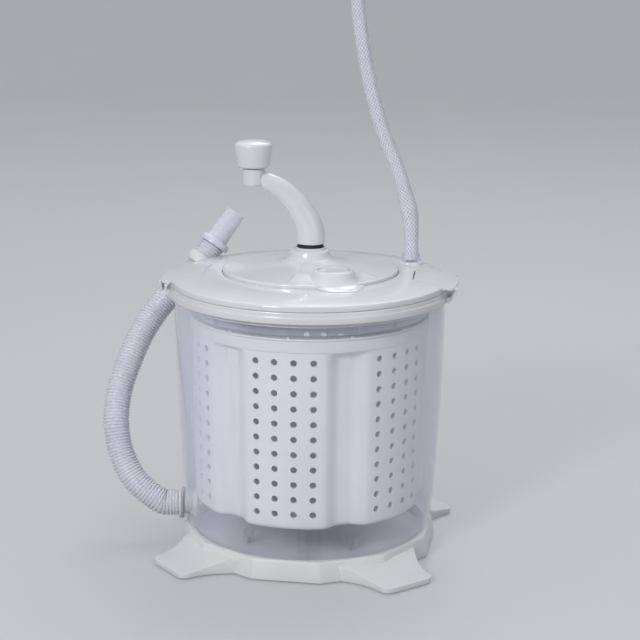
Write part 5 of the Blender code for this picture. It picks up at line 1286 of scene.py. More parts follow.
@dataclass
class ClearTub:
    """The clear tub with its pivot boss and drain pad, and the spout that the hose starts from."""

    top: float = 0.2500
    shoulder: float = 0.0208
    bottom: float = 0.0083
    top_radius: float = 0.1280
    foot_radius: float = 0.1122
    wall: float = 0.0025
    shape: tuple[tuple[float, float], ...] = (
        (1.0, 1.0),
        (0.85, 0.998),
        (0.70, 0.992),
        (0.55, 0.983),
        (0.40, 0.970),
        (0.25, 0.954),
        (0.09, 0.933),
        (0.0, 0.908),
    )
    drain_azimuth: float = DRAIN_AZIMUTH
    drain_height: float = DRAIN_HEIGHT
    drain_bore: float = 0.0113
    pad_radius: float = 0.0144
    pad_reach: tuple[float, float] = (0.1123, 0.1215)
    boss_radius: float = 0.0130
    boss_tip: float = 0.0105
    boss_top: float = 0.0268
    pin_bore: float = 0.0033
    screw_boss: float = 0.005
    screw_boss_top: float = 0.0228
    screw_bore: float = 0.0018
    screw_top: float = 0.0170

    def build(self) -> None:
        """Makes the tub and its drain fittings."""
        self.make_tub()
        self.make_spout()

    def drain_frame(self) -> Matrix:
        """A frame on the tub's axis whose Z runs outwards along the drain."""
        return along((0, 0, self.drain_height), polar(1.0, self.drain_azimuth))

    def make_tub(self) -> None:
        """Spins the tub and joins its bosses and pad."""
        rise = self.top - self.shoulder
        outer = [(self.top_radius * share, self.shoulder + rise * height) for height, share in self.shape]
        inner = [(radius - self.wall, height) for radius, height in reversed(outer)]
        inner[0] = (inner[0][0], self.shoulder + self.wall)
        foot, floor = self.foot_radius - self.wall, self.bottom + self.wall
        outer[-1] = (*outer[-1], 0.0022)
        profile = (
            (0.0, floor),
            (foot, floor, 0.004),
            (foot, self.shoulder + self.wall, 0.0012),
            (*inner[0], 0.0012),
            *inner[1:],
            *outer,
            (self.foot_radius, self.shoulder, 0.0008),
            (self.foot_radius, self.bottom, 0.004),
            (0.0, self.bottom),
        )
        tub = Blank().spin(profile, 144, closed=False)
        middle = self.bottom + self.wall / 2
        screws = stood_round(BASE_SCREW_RING, FOOT_AZIMUTHS)
        boss = Blank().rod(self.boss_radius, middle, self.boss_top, 48, top_radius=self.boss_tip)
        bosses = Blank().rods(self.screw_boss, middle, self.screw_boss_top, 24, screws)
        pad = Blank().rod(self.pad_radius, *self.pad_reach, 48, self.drain_frame())
        tub.combine("UNION", boss, bosses, pad)
        holes = Blank().rod(self.pin_bore, 0.0135, 0.03, 24)
        holes.rods(self.screw_bore, 0.0, self.screw_top, 16, screws)
        holes.rod(self.drain_bore, 0.110, 0.124, 48, self.drain_frame())
        tub.combine("DIFFERENCE", holes)
        tub.place("clear_tub_wall", "root", Look.TUB, "tub")

    def make_spout(self) -> None:
        """Spins the drain spout, its gasket and its nut."""
        frame = self.drain_frame()
        spout = (
            (0.0090, 0.1080),
            (0.0110, 0.1080, 0.0004),
            (0.0110, 0.1236),
            (0.0150, 0.1236, 0.0004),
            (0.0150, 0.1261, 0.0006),
            (0.0090, 0.1261, 0.0004),
        )
        Blank().spin(spout, 64, frame=frame).place("spout", "root", Look.SATIN, "drain_spout")
        gasket = (
            (self.drain_bore, 0.1218),
            (0.0150, 0.1218, 0.0004),
            (0.0150, 0.1233, 0.0004),
            (self.drain_bore, 0.1233),
        )
        Blank().spin(gasket, 64, frame=frame).place("spout_gasket", "root", Look.GREY, "drain_gasket")
        nut = Blank().rod(0.0136, 0.1080, 0.1120, 6, frame, phase=math.pi / 6).soften(0.0006, 0.5)
        nut.combine("DIFFERENCE", Blank().rod(self.drain_bore, 0.105, 0.115, 48, frame))
        nut.place("spout_nut", "root", Look.SATIN, "drain_nut")


# Basket


@dataclass
class SpinBasket:
    """The perforated basket: six panels with a valley between each two, and its open cover."""

    bottom: float = 0.0470
    top: float = 0.2255
    radius: float = 0.1120
    bottom_radius: float = 0.1095
    rim_radius: float = 0.1132
    rim_height: float = 0.0105
    wall: float = 0.0022
    panels: int = 6
    first_panel: float = math.radians(-92)
    valley_half: float = math.radians(11.6)
    valley_depth: float = 0.0085
    valley_fade: float = 0.0056
    valley_slope: float = 1.3
    valley_start: float = 0.086
    valley_reach: float = 0.012
    floor_bend: float = 0.085
    floor_ring: float = 0.070
    floor_holes: int = 12
    hole_radius: float = 0.0031
    hole_rows: int = 11
    first_row: float = 0.0625
    row_pitch: float = 0.0143
    hole_angles: tuple[float, ...] = (-13.8, -4.6, 4.6, 13.8)
    hole_reach: tuple[float, float] = (0.104, 0.116)
    hub_radius: float = 0.010
    hub_reach: tuple[float, float] = (0.034, 0.0532)
    floor_hole: float = 0.004
    bush_bore: float = 0.0063
    cover_radius: float = 0.1129
    cover_width: float = 0.013
    cover_low: float = 0.2258
    cover_high: float = 0.2278
    lip_outer: float = 0.1104
    lip_inner: float = 0.1086
    lip_depth: float = 0.005
    spokes: int = 3
    spoke_length: float = 0.1064
    spoke_width: float = 0.016
    spoke_height: float = 0.0017
    tabs: int = 12

    def build(self) -> None:
        """Makes the basket and its cover."""
        self.make_basket()
        self.make_cover()

    def make_basket(self) -> None:
        """Spins the wall and floor, draws the valleys in, and drills the holes."""
        band = self.top - self.rim_height
        fade = band - self.valley_fade
        outside = [(self.bottom_radius, self.bottom, 0.0055)]
        for step in range(1, 9):
            share = step / 8
            radius = self.bottom_radius + (self.radius - self.bottom_radius) * share
            outside.append((radius, self.bottom + (fade - self.bottom) * share))
        outside += [(self.radius, fade + self.valley_fade * share) for share in (0.25, 0.5, 0.75)]
        inside = [(row[0] - self.wall, row[1]) for row in reversed(outside)]
        inside[-1] = (self.bottom_radius - self.wall, self.bottom + self.wall, 0.0040)
        profile = (
            (0.0, self.bottom),
            (self.floor_bend, self.bottom),
            *outside,
            (self.radius, band, 0.0004),
            (self.rim_radius, band, 0.0006),
            (self.rim_radius, self.top, 0.0006),
            (self.rim_radius - self.wall, self.top, 0.0004),
            (self.rim_radius - self.wall, band + self.wall),
            (self.radius - self.wall, band),
            *inside,
            (self.floor_bend, self.bottom + self.wall),
            (0.0, self.bottom + self.wall),
        )
        basket = Blank().spin(profile, 288, closed=False)
        for vert in basket.bm.verts:
            self.draw_in(vert, fade, band)
        basket.combine("UNION", Blank().rod(self.hub_radius, *self.hub_reach, 48))
        floor_spots = stood_round(self.floor_ring, evenly(self.floor_holes))
        holes = Blank().rods(self.floor_hole, 0.040, 0.055, 16, floor_spots)
        holes.rod(self.bush_bore, 0.030, self.bottom, 40)
        for azimuth in evenly(self.panels):
            for angle in self.hole_angles:
                direction = polar(1.0, self.first_panel + azimuth + math.radians(angle))
                for row in range(self.hole_rows):
                    frame = along((0, 0, self.first_row + self.row_pitch * row), direction)
                    holes.rod(self.hole_radius, *self.hole_reach, 14, frame)
        basket.combine("DIFFERENCE", holes)
        basket.place("perforated_basket", "basket", Look.BASKET, "basket", crease=40.0)

    def draw_in(self, vert: bmesh.types.BMVert, fade: float, band: float) -> None:
        """Draws one point of the wall towards the axis where it lies in a valley.

        Args:
            vert: The point.
            fade: The height where the valleys start to fade.
            band: The height where they have gone.
        """
        radius = vert.co.to_2d().length
        if radius < self.valley_start or vert.co.z > band - 10 * WELD:
            return
        azimuth = math.atan2(vert.co.y, vert.co.x)
        panel = FULL_TURN / self.panels
        offset = (azimuth - self.first_panel + panel / 2) % panel
        offset = min(offset, panel - offset)
        if offset >= self.valley_half:
            return
        depth = self.valley_depth * eased(self.valley_slope * (1 - offset / self.valley_half))
        depth *= 1 - eased((vert.co.z - fade) / (band - fade))
        nearness = eased((radius - self.valley_start) / self.valley_reach)
        drawn = (radius - depth * nearness) / radius
        vert.co.x *= drawn
        vert.co.y *= drawn

    def make_cover(self) -> None:
        """Spins the cover's ring, and joins its spokes, hub and grip tabs."""
        low, high, outer = self.cover_low, self.cover_high, self.cover_radius
        profile = (
            (outer - self.cover_width, high, 0.0005),
            (outer, high, 0.0005),
            (outer, low, 0.0004),
            (self.lip_outer, low),
            (self.lip_outer, low - self.lip_depth, 0.0004),
            (self.lip_inner, low - self.lip_depth, 0.0004),
            (self.lip_inner, low),
            (outer - self.cover_width, low, 0.0004),
        )
        cover = Blank().spin(profile, 192)
        spokes = []
        for azimuth in evenly(self.spokes):
            frame = turned(azimuth) @ at((self.spoke_length / 2, 0, (low + high) / 2))
            spoke = Blank().box((self.spoke_length, self.spoke_width, self.spoke_height), frame)
            spokes.append(spoke.soften(0.0003, 0.7, 1))
        hub = Blank().rod(0.015, 0.2198, 0.2368, 64).soften(0.0008, 0.7)
        tabs = Blank()
        for azimuth in evenly(self.tabs):
            tabs.box((0.002, 0.002, 0.0024), turned(azimuth) @ at((outer - 0.002, 0, high)))
        cover.combine("UNION", *spokes, hub, tabs)
        cover.combine("DIFFERENCE", Blank().rod(0.0079, 0.2218, 0.240, 6))
        cover.place("basket_top", "basket", Look.BASKET, "basket_cover")


# Collar and lid


@dataclass
class RimCollar:
    """The stepped collar on the tub's rim, with a lug for each latch."""

    radius: float = 0.1325
    inner: float = 0.1216
    bottom: float = 0.2454
    step: float = 0.2518
    step_depth: float = 0.0012
    top: float = 0.2560
    inner_bottom: float = 0.2410
    groove: tuple[float, float] = (0.1249, 0.1286)
    groove_top: float = 0.2503
    lug_half: float = math.radians(13)
    lug_reach: float = 0.0030
    lug_rise: tuple[float, float] = (0.0005, 0.0055)

    def build(self) -> None:
        """Spins the collar and joins its lugs."""
        upper = self.radius - self.step_depth
        profile = (
            (self.inner, self.top, 0.0005),
            (upper, self.top, 0.0012),
            (upper, self.step, 0.0004),
            (self.radius, self.step, 0.0010),
            (self.radius, self.bottom, 0.0008),
            (self.groove[1], self.bottom, 0.0003),
            (self.groove[1], self.groove_top),
            (self.groove[0], self.groove_top),
            (self.groove[0], self.inner_bottom, 0.0003),
            (self.inner, self.inner_bottom, 0.0005),
        )
        collar = Blank().spin(profile, 240)
        lugs = []
        outline = arc_plate(upper - 0.001, self.radius + self.lug_reach, self.lug_half)
        low, high = (self.bottom + rise for rise in self.lug_rise)
        for azimuth in LATCH_AZIMUTHS:
            lug = Blank().slab(outline, low, high, turned(azimuth))
            lugs.append(lug.soften(0.0006, 0.6))
        collar.combine("UNION", *lugs)
        collar.place("rim_collar", "root", Look.GLOSS, "collar")


def arc_plate(inner: float, outer: float, half_angle: float, steps: int = 32) -> list[Vector]:
    """A curved plate's outline: its outer arc, then its inner arc back.

    Args:
        inner: The radius of its inner arc.
        outer: The radius of its outer arc.
        half_angle: Half the angle that it spans, about the X axis.
        steps: How many steps each arc has.

    Returns:
        Its corners.
    """
    turns = [half_angle * (2 * step / steps - 1) for step in range(steps + 1)]
    outline = [polar(outer, turn).to_2d() for turn in turns]
    return outline + [polar(inner, turn).to_2d() for turn in reversed(turns)]


@dataclass
class LatchShape:
    """What a latch and its seat in the lid share: the hinge's place and the plate's outline."""

    hinge_radius: float = 0.0995
    length: float = 0.0405
    half_width: float = 0.0390
    shares: tuple[tuple[float, float], ...] = ((0.0, 0.54), (0.63, 1.0), (0.90, 0.95), (1.0, 0.82))
    root_ease: float = 0.0013
    thickness: float = 0.0022
    barrel: float = 0.0017
    pin_bore: float = 0.0011

    def frame(self, azimuth: float, plate_height: float, fall: float) -> Matrix:
        """A frame on the hinge's axis, whose X runs outwards down the lid's slope."""
        place = polar(self.hinge_radius, azimuth, plate_height - self.thickness)
        return at(place) @ turned(azimuth) @ Matrix.Rotation(math.atan(fall), 4, "Y")

    def outline(self, clearance: float = 0.0, overrun: float = 0.0) -> list[tuple[float, float]]:
        """The plate's outline, wider by a clearance, or run past its outer edge.

        Args:
            clearance: How much wider it is at each side.
            overrun: How far past the outer edge it runs.

        Returns:
            Its corners in the latch's frame.
        """
        side = [(self.length * reach, self.half_width * width + clearance) for reach, width in self.shares]
        if overrun:
            side.append((self.length + overrun, side[-1][1]))
        else:
            side[0] = (side[0][0], side[0][1] - self.root_ease)
        return [(x, -y) for x, y in side] + list(reversed(side))


@dataclass
class WashLid:
    """The lid: its sloping plate, the recess for the gearbox, the latch seats and the hose's boss."""

    radius: float = 0.1310
    edge_top: float = 0.2618
    shoulder_top: float = 0.2670
    skirt_bottom: float = 0.2563
    skirt: float = 0.0024
    underside: float = 0.2580
    wall: float = 0.0026
    ring: float = 0.1210
    ring_bottom: float = 0.2495
    recess: float = 0.0833
    recess_floor: float = 0.2645
    well: float = 0.0445
    well_floor: float = 0.2550
    bush_bore: float = 0.0083
    boss_bottom: float = 0.2440
    fall: float = 0.1118
    seat_inner: float = 0.0895
    seat_outer: float = 0.1196
    seat_half: float = math.radians(22)
    seat_rise: float = 0.0006
    inlet_top: float = 0.2664
    inlet_bore: float = 0.0053
    splash_radius: float = 0.1181
    splash_top: float = 0.2577
    splash_knee: float = 0.2490
    splash_bottom: float = 0.2305
    splash_bottom_radius: float = 0.1125
    splash_wall: float = 0.0016
    rib_first: float = -48.5
    rib_offset: float = 10.0
    rib_half: float = 0.0010
    latch: LatchShape = field(default_factory=LatchShape)

    def build(self) -> None:
        """Makes the lid, the splash ring under it and the lid's gasket."""
        self.make_lid()
        self.make_splash_ring()
        gasket = ((0.1225, 0.2563), (0.1280, 0.2563, 0.0004), (0.1280, 0.2577, 0.0004), (0.1225, 0.2577))
        Blank().spin(gasket, 192).place("lid_seal", "lid", Look.GREY, "lid_gasket")

    def plate_height(self, radius: float) -> float:
        """The height of the sloping plate at a distance from the axis."""
        return self.shoulder_top - self.fall * (radius - self.recess)

    def make_lid(self) -> None:
        """Spins the lid, joins its bosses and cuts its pockets and holes."""
        ring_inner = self.ring - self.wall
        low = self.recess_floor - self.wall
        well = self.well + 0.003
        boss = self.bush_bore + 0.0035
        profile = (
            (self.recess, self.shoulder_top, 0.0006),
            (self.radius - 0.0003, self.edge_top, 0.0014),
            (self.radius, self.skirt_bottom, 0.0006),
            (self.radius - self.skirt, self.skirt_bottom, 0.0004),
            (self.radius - self.skirt, self.underside),
            (self.ring, self.underside),
            (self.ring, self.ring_bottom, 0.0006),
            (ring_inner, self.ring_bottom, 0.0006),
            (ring_inner, self.plate_height(ring_inner) - self.wall),
            (self.recess + self.wall, low),
            (well, low),
            (well, self.well_floor - 0.003, 0.0006),
            (boss, self.well_floor - 0.003),
            (boss, self.boss_bottom, 0.0005),
            (self.bush_bore, self.boss_bottom, 0.0003),
            (self.bush_bore, self.well_floor, 0.0003),
            (self.well, self.well_floor, 0.0003),
            (self.well, self.recess_floor, 0.0003),
            (self.recess, self.recess_floor, 0.0003),
        )
        lid = Blank().spin(profile, 240)
        middle, under = self.edge_top + self.seat_rise, self.underside + STAGGER
        seat = arc_plate(self.seat_inner, self.seat_outer, self.seat_half)
        seats = [Blank().slab(seat, under, middle, turned(azimuth)) for azimuth in LATCH_AZIMUTHS]
        spot = at(polar(INLET_RADIUS, INLET_AZIMUTH))
        guide = Blank().rod(0.0120, middle, self.inlet_top, 64, spot, 0.0117).soften(0.0007, 0.7)
        lid.combine("UNION", *seats, guide)
        cuts = [cut for azimuth in LATCH_AZIMUTHS for cut in self.latch_room(azimuth)]
        screws = stood_round(COVER_SCREW_RING, COVER_SCREW_AZIMUTHS)
        holes = Blank().rods(0.0023, 0.2527, 0.2632, 24, stood_round(0.024, evenly(3)))
        holes.rods(COVER_SCREW_BORE, 0.259, 0.2687, 20, screws)
        filler = Blank().rod(PORT_BORE, 0.256, 0.2667, 64, at(polar(PORT_RADIUS, PORT_AZIMUTH)))
        inlet = Blank().rod(self.inlet_bore, 0.254, 0.270, 40, spot)
        lid.combine("DIFFERENCE", *cuts, holes, filler, inlet)
        lid.place("lid_moulding", "lid", Look.GLOSS, "lid")

    def latch_room(self, azimuth: float) -> tuple[Blank, Blank, Blank]:
        """What one latch takes out of the lid.

        Args:
            azimuth: The latch's angle round the lid.

        Returns:
            The room for its plate, for its barrel and for its pin.
        """
        frame = self.latch.frame(azimuth, self.plate_height(self.latch.hinge_radius), self.fall)
        pocket = Blank().slab(self.latch.outline(0.0004, CUT_PAST), -FIT, 0.0045, frame)
        slot = Blank().box((0.0049, 0.04352, 0.0064), frame @ at((-0.00015, 0, 0.0009)))
        pin = Blank().rod(self.latch.pin_bore, -0.0253, 0.0253, 24, frame @ along((0, 0, 0), (0, 1, 0)))
        return pocket, slot, pin

    def make_splash_ring(self) -> None:
        """Spins the frosted splash ring and joins its slanted ribs."""
        outer, top, knee = self.splash_radius, self.splash_top, self.splash_knee
        bottom_radius, bottom, wall = self.splash_bottom_radius, self.splash_bottom, self.splash_wall
        profile = (
            (outer - wall, top),
            (outer, top),
            (outer, knee, 0.0020),
            (bottom_radius, bottom, 0.0005),
            (bottom_radius - wall, bottom, 0.0005),
            (outer - wall, knee, 0.0020),
        )
        ring = Blank().spin(profile, 192)
        outline = (
            (outer - wall / 2, knee),
            (bottom_radius - wall / 2, bottom + wall / 2),
            (outer - FIT, bottom + wall),
            (outer - FIT, knee),
        )
        ribs = []
        on_edge = Matrix.Rotation(math.pi / 2, 4, "X")
        for step in range(4):
            for side in (-self.rib_offset, self.rib_offset):
                frame = turned(math.radians(self.rib_first + 90 * step + side)) @ on_edge
                rib = Blank().slab(outline, -self.rib_half, self.rib_half, frame)
                ribs.append(rib.soften(0.0003, 0.7, 1))
        ring.combine("UNION", *ribs)
        ring.place("splash_guard", "lid", Look.RING, "splash_ring")


@dataclass
class Latches:
    """The two latch plates that hook under the collar's lugs."""

    names: tuple[str, str] = ("latch_right", "latch_left")
    hook_wall: float = 0.0024
    hook_width: float = 0.0120
    hook_depth: float = 0.0090
    hook_offset: float = 0.0250
    hook_inset: float = 0.0008
    shape: LatchShape = field(default_factory=LatchShape)

    def build(self, lid: WashLid) -> None:
        """Makes both latches, flush with the lid.

        Args:
            lid: The lid that they close.
        """
        axis = along((0, 0, 0), (0, 1, 0))
        half = self.shape.half_width * self.shape.shares[0][1]
        height = self.hook_depth + self.shape.thickness / 2
        for name, azimuth in zip(self.names, LATCH_AZIMUTHS):
            frame = self.shape.frame(azimuth, lid.plate_height(self.shape.hinge_radius), lid.fall)
            plate = Blank().slab(self.shape.outline(), 0.0, 2 * self.shape.thickness, frame)
            plate.combine("INTERSECT", self.flush_with(lid))
            barrel = Blank().rod(self.shape.barrel, -half, half, 32, frame @ axis)
            hooks = []
            for side in (-1, 1):
                reach = self.shape.length - self.hook_wall / 2 - self.hook_inset
                middle = (reach, side * self.hook_offset)
                spot = frame @ at((*middle, self.shape.thickness / 2 - height / 2))
                hook = Blank().box((self.hook_wall, self.hook_width, height), spot)
                hooks.append(hook.soften(0.0006, 0.6))
            plate.combine("UNION", barrel, *hooks)
            past = half + CUT_PAST
            plate.combine("DIFFERENCE", Blank().rod(self.shape.pin_bore, -past, past, 20, frame @ axis))
            bmesh.ops.remove_doubles(plate.bm, verts=plate.bm.verts[:], dist=20 * WELD)
            plate.place(f"{name}_plate", name, Look.GLOSS, name)

    def flush_with(self, lid: WashLid) -> Blank:
        """A round solid whose top is the lid's slope carried on to the latches' outer edge.

        Args:
            lid: The lid that the slope belongs to.

        Returns:
            The solid.
        """
        outer = self.shape.hinge_radius + self.shape.length - FIT
        profile = (
            (0.0, 0.2),
            (outer, 0.2),
            (outer, lid.plate_height(outer), 0.0009),
            (0.05, lid.plate_height(0.05)),
            (0.0, lid.plate_height(0.05)),
        )
        return Blank().spin(profile, 360, closed=False)


# Gearbox cover and filler cap


@dataclass
class GearHood:
    """The gearbox cover with its hub cone, the raised sector in front, and the filler port."""

    radius: float = 0.0826
    bottom: float = 0.2648
    edge_top: float = 0.2700
    wall: float = 0.0026
    bore: float = 0.0093
    surface: tuple[tuple[float, float], ...] = (
        (0.0150, 0.2879),
        (0.0168, 0.2877),
        (0.0180, 0.2872),
        (0.0186, 0.2862),
        (0.0190, 0.2848),
        (0.0195, 0.2832),
        (0.0203, 0.2814),
        (0.0215, 0.2797),
        (0.0230, 0.2783),
        (0.0252, 0.2770),
        (0.0281, 0.2759),
        (0.0320, 0.2749),
        (0.0370, 0.2741),
        (0.0430, 0.2734),
        (0.0500, 0.2727),
        (0.0580, 0.2720),
        (0.0660, 0.2713),
        (0.0740, 0.2706),
        (0.0790, 0.2702),
    )
    sector: tuple[float, float] = (math.radians(-97), math.radians(-25))
    sector_rise: float = 0.0022
    sector_side: float = math.radians(2.5)
    sector_inner: tuple[float, float] = (0.0205, 0.006)
    sector_outer: tuple[float, float] = (0.058, 0.02)
    sector_limit: float = 0.0785
    port_radius: float = PORT_RADIUS
    port_azimuth: float = PORT_AZIMUTH
    port_top: float = 0.2798
    port_wall: float = 0.0026
    port_seat: float = 0.0144
    port_seat_floor: float = 0.2762
    bore_turn: float = math.radians(0.3125)
    seat_turn: float = math.radians(0.625)
    screw_boss: float = 0.0042
    screw_reach: tuple[float, float] = (0.2616, 0.2689)
    cap_radius: float = 0.0141
    cap_depth: float = 0.0022
    plug_radius: float = 0.0118
    plug_wall: float = 0.002
    plug_depth: float = 0.0075
    skirt: tuple[tuple[float, float], ...] = (
        (0.0345, 0.2652),
        (0.0330, 0.2662),
        (0.0308, 0.2667),
        (0.0284, 0.2675),
        (0.0262, 0.2686),
        (0.0242, 0.2699),
        (0.0225, 0.2715),
        (0.0210, 0.2734),
        (0.0198, 0.2756),
        (0.0188, 0.2779),
    )

    def build(self, lid: WashLid) -> None:
        """Makes the cover, fitted to the lid, and the cap in its port."""
        self.make_cover(lid)
        self.make_cap()

    def under_skirt(self, lid: WashLid) -> Blank:
        """The room under the port's skirt: the space inside the cover, and the lid's slope outside it.

        Args:
            lid: The lid that the skirt comes down to.

        Returns:
            The room.
        """
        gap = 0.0002
        inside = self.radius + gap
        profile = (
            (0.0, 0.24),
            (0.16, 0.24),
            (0.16, lid.plate_height(0.16) + gap),
            (inside, lid.plate_height(inside) + gap),
            (inside, 0.2674),
            (0.0, 0.2674),
        )
        return Blank().spin(profile, 288, closed=False)

    def make_cover(self, lid: WashLid) -> None:
        """Spins the cover, raises its sector and joins the port and the screw bosses.

        Args:
            lid: The lid that it is fitted to.
        """
        profile = (
            (self.bore, 0.2876),
            (0.0127, 0.2876),
            (0.0127, 0.2899, 0.0004),
            (0.0142, 0.2899, 0.0006),
            (0.0142, 0.2881, 0.0002),
            *self.surface,
            (self.radius, self.edge_top, 0.0012),
            (self.radius, self.bottom, 0.0003),
            (self.radius - self.wall, self.bottom),
            (self.radius - self.wall, self.edge_top - self.wall),
            (0.0454, 0.2706),
            (0.0281, 0.2720),
            (self.bore, 0.2720),
        )
        cover = Blank().spin(profile, 288)
        for vert in cover.bm.verts:
            self.raise_sector(vert)
        spot = at(polar(self.port_radius, self.port_azimuth))
        rise = ((0.0, self.skirt[0][1]), *self.skirt, (0.0175, self.port_top, 0.0012), (0.0, self.port_top))
        port = Blank().spin(rise, 144, False, spot)
        port.combine("DIFFERENCE", self.under_skirt(lid))
        neck_radius = PORT_BORE + self.port_wall
        neck = Blank().rod(neck_radius, self.bottom + STAGGER, self.edge_top - STAGGER, 64, spot)
        screws = stood_round(COVER_SCREW_RING, COVER_SCREW_AZIMUTHS)
        low, high = self.bottom + 2 * STAGGER, self.edge_top - 2 * STAGGER
        cover.combine("UNION", port, neck, Blank().rods(self.screw_boss, low, high, 32, screws))
        holes = Blank().rods(COVER_SCREW_BORE, *self.screw_reach, 20, screws)
        # The port's two cutters are turned a little, so that no corner of theirs falls on one of its edges.
        low, high = self.bottom - CUT_PAST, self.port_top + CUT_PAST
        bore = Blank().rod(PORT_BORE, low, high, 64, spot @ turned(self.bore_turn))
        low = self.port_seat_floor
        seat = Blank().rod(self.port_seat, low, high, 96, spot @ turned(self.seat_turn))
        cover.combine("DIFFERENCE", bore, seat, holes)
        cover.place("gearbox_hood", "lid", Look.GLOSS, "gearbox_cover", crease=40.0)

    def raise_sector(self, vert: bmesh.types.BMVert) -> None:
        """Lifts one point of the top surface where it lies in the raised sector.

        Args:
            vert: The point.
        """
        radius = vert.co.to_2d().length
        nearest = min(self.surface, key=lambda row: abs(row[0] - radius))
        if vert.co.z < nearest[1] - 0.001 or radius > self.sector_limit:
            return
        azimuth = math.atan2(vert.co.y, vert.co.x)
        edge = min(azimuth - self.sector[0], self.sector[1] - azimuth)
        (inner, inner_reach), (outer, outer_reach) = self.sector_inner, self.sector_outer
        inside = eased(edge / self.sector_side) * eased((radius - inner) / inner_reach)
        vert.co.z += self.sector_rise * inside * (1 - eased((radius - outer) / outer_reach))

    def make_cap(self) -> None:
        """Spins the filler cap, hollows its finger place, and makes its gasket."""
        radius, low, plug = self.cap_radius, self.port_top - self.cap_depth, self.plug_radius
        plug_low, plug_inner = low - self.plug_depth, plug - self.plug_wall
        profile = (
            (0.0, self.port_top - 0.0003),
            (0.0112, self.port_top - 0.0003, 0.0006),
            (0.0120, self.port_top, 0.0004),
            (radius, self.port_top, 0.0006),
            (radius, low, 0.0003),
            (plug, low),
            (plug, plug_low, 0.0005),
            (plug_inner, plug_low, 0.0005),
            (plug_inner, low),
            (0.0, low),
        )
        centre = polar(self.port_radius, self.port_azimuth)
        cap = Blank().spin(profile, 96, False, at(centre))
        place = centre + polar(radius * 0.72, math.radians(190))
        hollow = (self.port_top - 0.0012, self.port_top + CUT_PAST)
        cap.combine("DIFFERENCE", Blank().rod(0.0040, *hollow, 48, at(place), 0.0046))
        cap.place("cap_moulding", "filler_cap", Look.GLOSS, "filler_cap")
        top = low - FIT
        ring = ((0.0121, top - 0.0008), (radius, top - 0.0008, 0.0002), (radius, top, 0.0002), (0.0121, top))
        Blank().spin(ring, 64, frame=at(centre)).place("cap_seal", "filler_cap", Look.GREY, "cap_gasket")


# Crank and knob


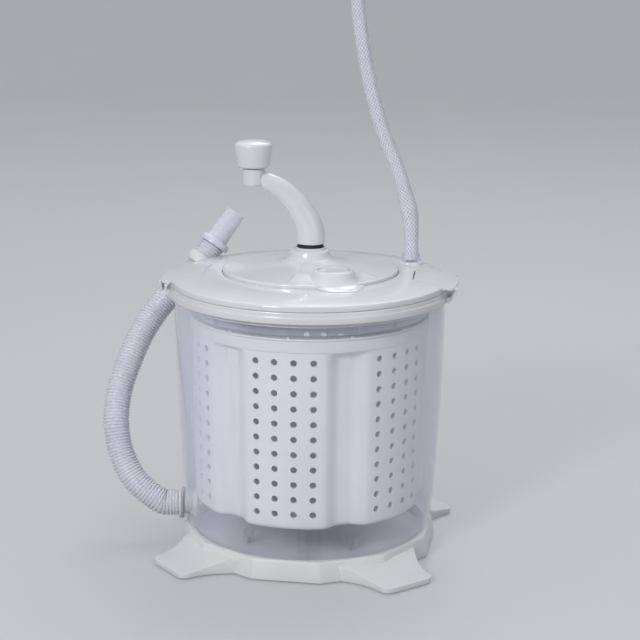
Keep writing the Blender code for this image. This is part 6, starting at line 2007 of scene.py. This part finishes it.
@dataclass
class HandCrank:
    """The swept crank arm with its post, the turned knob, and the seal under the arm."""

    azimuth: float = math.radians(190)
    offset: float = 0.0530
    bottom: float = 0.2932
    base_radius: float = 0.0140
    base_rounding: float = 0.0014
    end_radius: float = 0.0072
    shaft_bore: float = 0.0063
    shaft_top: float = 0.3112
    pin_bore: float = 0.0033
    pin_bottom: float = 0.3544
    head_room: float = 0.0051
    head_low: float = 0.3797
    head_high: float = 0.3823
    straight: float = 0.0060
    rise: float = 0.0545
    handles: tuple[float, float] = (0.40, 0.49)
    post_radius: float = 0.0104
    post_bottom: float = 0.3482
    post_top: float = 0.3637
    knob_bottom: float = 0.3650
    knob_top: float = 0.3905
    knob_radius: float = 0.0180
    knob_shape: tuple[tuple[float, float], ...] = (
        (1.0, 0.0),
        (0.992, 0.32),
        (0.965, 0.58),
        (0.925, 0.78),
        (0.888, 0.90),
        (0.850, 0.965),
        (0.805, 0.996),
        (0.760, 1.0),
        (0.700, 0.994),
        (0.400, 0.935),
        (0.080, 0.872),
        (0.030, 0.850),
    )

    def build(self) -> None:
        """Makes the arm, the knob and the seal."""
        self.make_arm()
        self.make_knob()
        seal = (
            (self.shaft_bore, 0.2879),
            (0.0124, 0.2879, 0.0008),
            (0.0124, 0.2924, 0.0008),
            (self.shaft_bore, 0.2924, 0.0003),
        )
        Blank().spin(seal, 96).place("seal_ring", "lid", Look.BLACK, "shaft_seal")

    def arm_line(self, steps: int) -> tuple[list[Vector], list[float]]:
        """The arm's middle line and radii, upright at the shaft and level at the knob.

        Args:
            steps: How many steps the bend has.

        Returns:
            The points of the line, and the radius at each.
        """
        start = Vector((0, 0, self.bottom + self.straight))
        end = start + Vector((self.offset, 0, self.rise))
        first = start + Vector((0, 0, self.rise * self.handles[0]))
        second = end - Vector((self.offset * self.handles[1], 0, 0))
        points, radii = [], []
        for step in range(5):
            turn = math.pi / 2 * (step / 4)
            lift = self.base_rounding * (1 - math.cos(turn))
            points.append(Vector((0, 0, self.bottom + lift)))
            radii.append(self.base_radius - self.base_rounding * (1 - math.sin(turn)))
        for step in range(steps + 1):
            share = step / steps
            rest = 1 - share
            near = start * rest**3 + first * (3 * rest**2 * share)
            points.append(near + second * (3 * rest * share**2) + end * share**3)
            radii.append(self.base_radius + (self.end_radius - self.base_radius) * share)
        return points, radii

    def make_arm(self) -> None:
        """Sweeps the arm, joins its post and bores it for the shaft and the knob's pin."""
        points, radii = self.arm_line(56)
        turn = turned(self.azimuth)
        arm = Blank().sweep([turn @ point for point in points], radii, 64)
        knob = at(polar(self.offset, self.azimuth))
        post = Blank().rod(self.post_radius, self.post_bottom, self.post_top, 64, knob).soften(0.0012, 0.7, 3)
        arm.combine("UNION", post)
        shaft = Blank().rod(self.shaft_bore, self.bottom - CUT_PAST, self.shaft_top, 40)
        pin = Blank().rod(self.pin_bore, self.pin_bottom, self.post_top + CUT_PAST, 32, knob)
        arm.combine("DIFFERENCE", shaft, pin)
        arm.place("swept_arm", "crank", Look.GLOSS, "crank_arm", crease=40.0)

    def make_knob(self) -> None:
        """Spins the knob with the bore and the room for its pin."""
        height = self.knob_top - self.knob_bottom
        bore, room, low, high = self.pin_bore, self.head_room, self.head_low, self.head_high
        profile = [(0.0, high), (room, high), (room, low), (bore, low), (bore, self.knob_bottom)]
        profile.append((self.knob_radius * 0.81, self.knob_bottom))
        for level, radius in reversed(self.knob_shape):
            profile.append((self.knob_radius * radius, self.knob_bottom + height * level))
        spot = at(polar(self.offset, self.azimuth))
        knob = Blank().spin(profile, 96, False, spot)
        knob.place("turned_knob", "knob", Look.GLOSS, "knob", crease=50.0)


# Pieces kept as the solids give them


@dataclass(frozen=True)
class KeptPieces:
    """The plain turned and toothed pieces that are kept, each with its finish."""

    finishes: tuple[tuple[Look, tuple[str, ...]], ...] = (
        (Look.GREY, ("foot_pad_1", "foot_pad_2", "foot_pad_3", "foot_pad_4")),
        (Look.STEEL, ("base_screw_1", "base_screw_2", "base_screw_3", "base_screw_4")),
        (Look.STEEL, ("cover_screw_1", "cover_screw_2", "cover_screw_3", "cover_screw_4")),
        (Look.STEEL, ("planet_pin_1", "planet_pin_2", "planet_pin_3", "latch_pin_1", "latch_pin_2")),
        (Look.STEEL, ("pivot_pin", "output_shaft", "crank_shaft", "shaft_screw", "knob_pin")),
        (Look.BRONZE, ("basket_bush", "output_bush", "crank_bush")),
        (Look.NYLON, ("sun_gear", "ring_gear", "planet_gear_1", "planet_gear_2", "planet_gear_3")),
    )

    def build(self, nodes: dict[str, bpy.types.Object]) -> None:
        """Gives each kept piece its finish.

        Args:
            nodes: The solids by name.
        """
        for look, names in self.finishes:
            for name in names:
                for slot in nodes[name].material_slots:
                    slot.material = look.material()
                LOG.info("%s keeps its solid, in %s", name, look.value.name)


def main() -> None:
    """Builds the machine in front of the camera."""
    logging.basicConfig(level=logging.INFO, format="%(name)s: %(message)s")
    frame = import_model()
    bpy.context.scene.view_settings.view_transform = "Standard"
    Studio().build()
    DrainLine().build()
    InletLine().build()
    FootedBase().build()
    ClearTub().build()
    SpinBasket().build()
    RimCollar().build()
    lid = WashLid()
    lid.build()
    Latches().build(lid)
    GearHood().build(lid)
    HandCrank().build()
    KeptPieces().build(frame["nodes"])


if __name__ == "__main__":
    main()
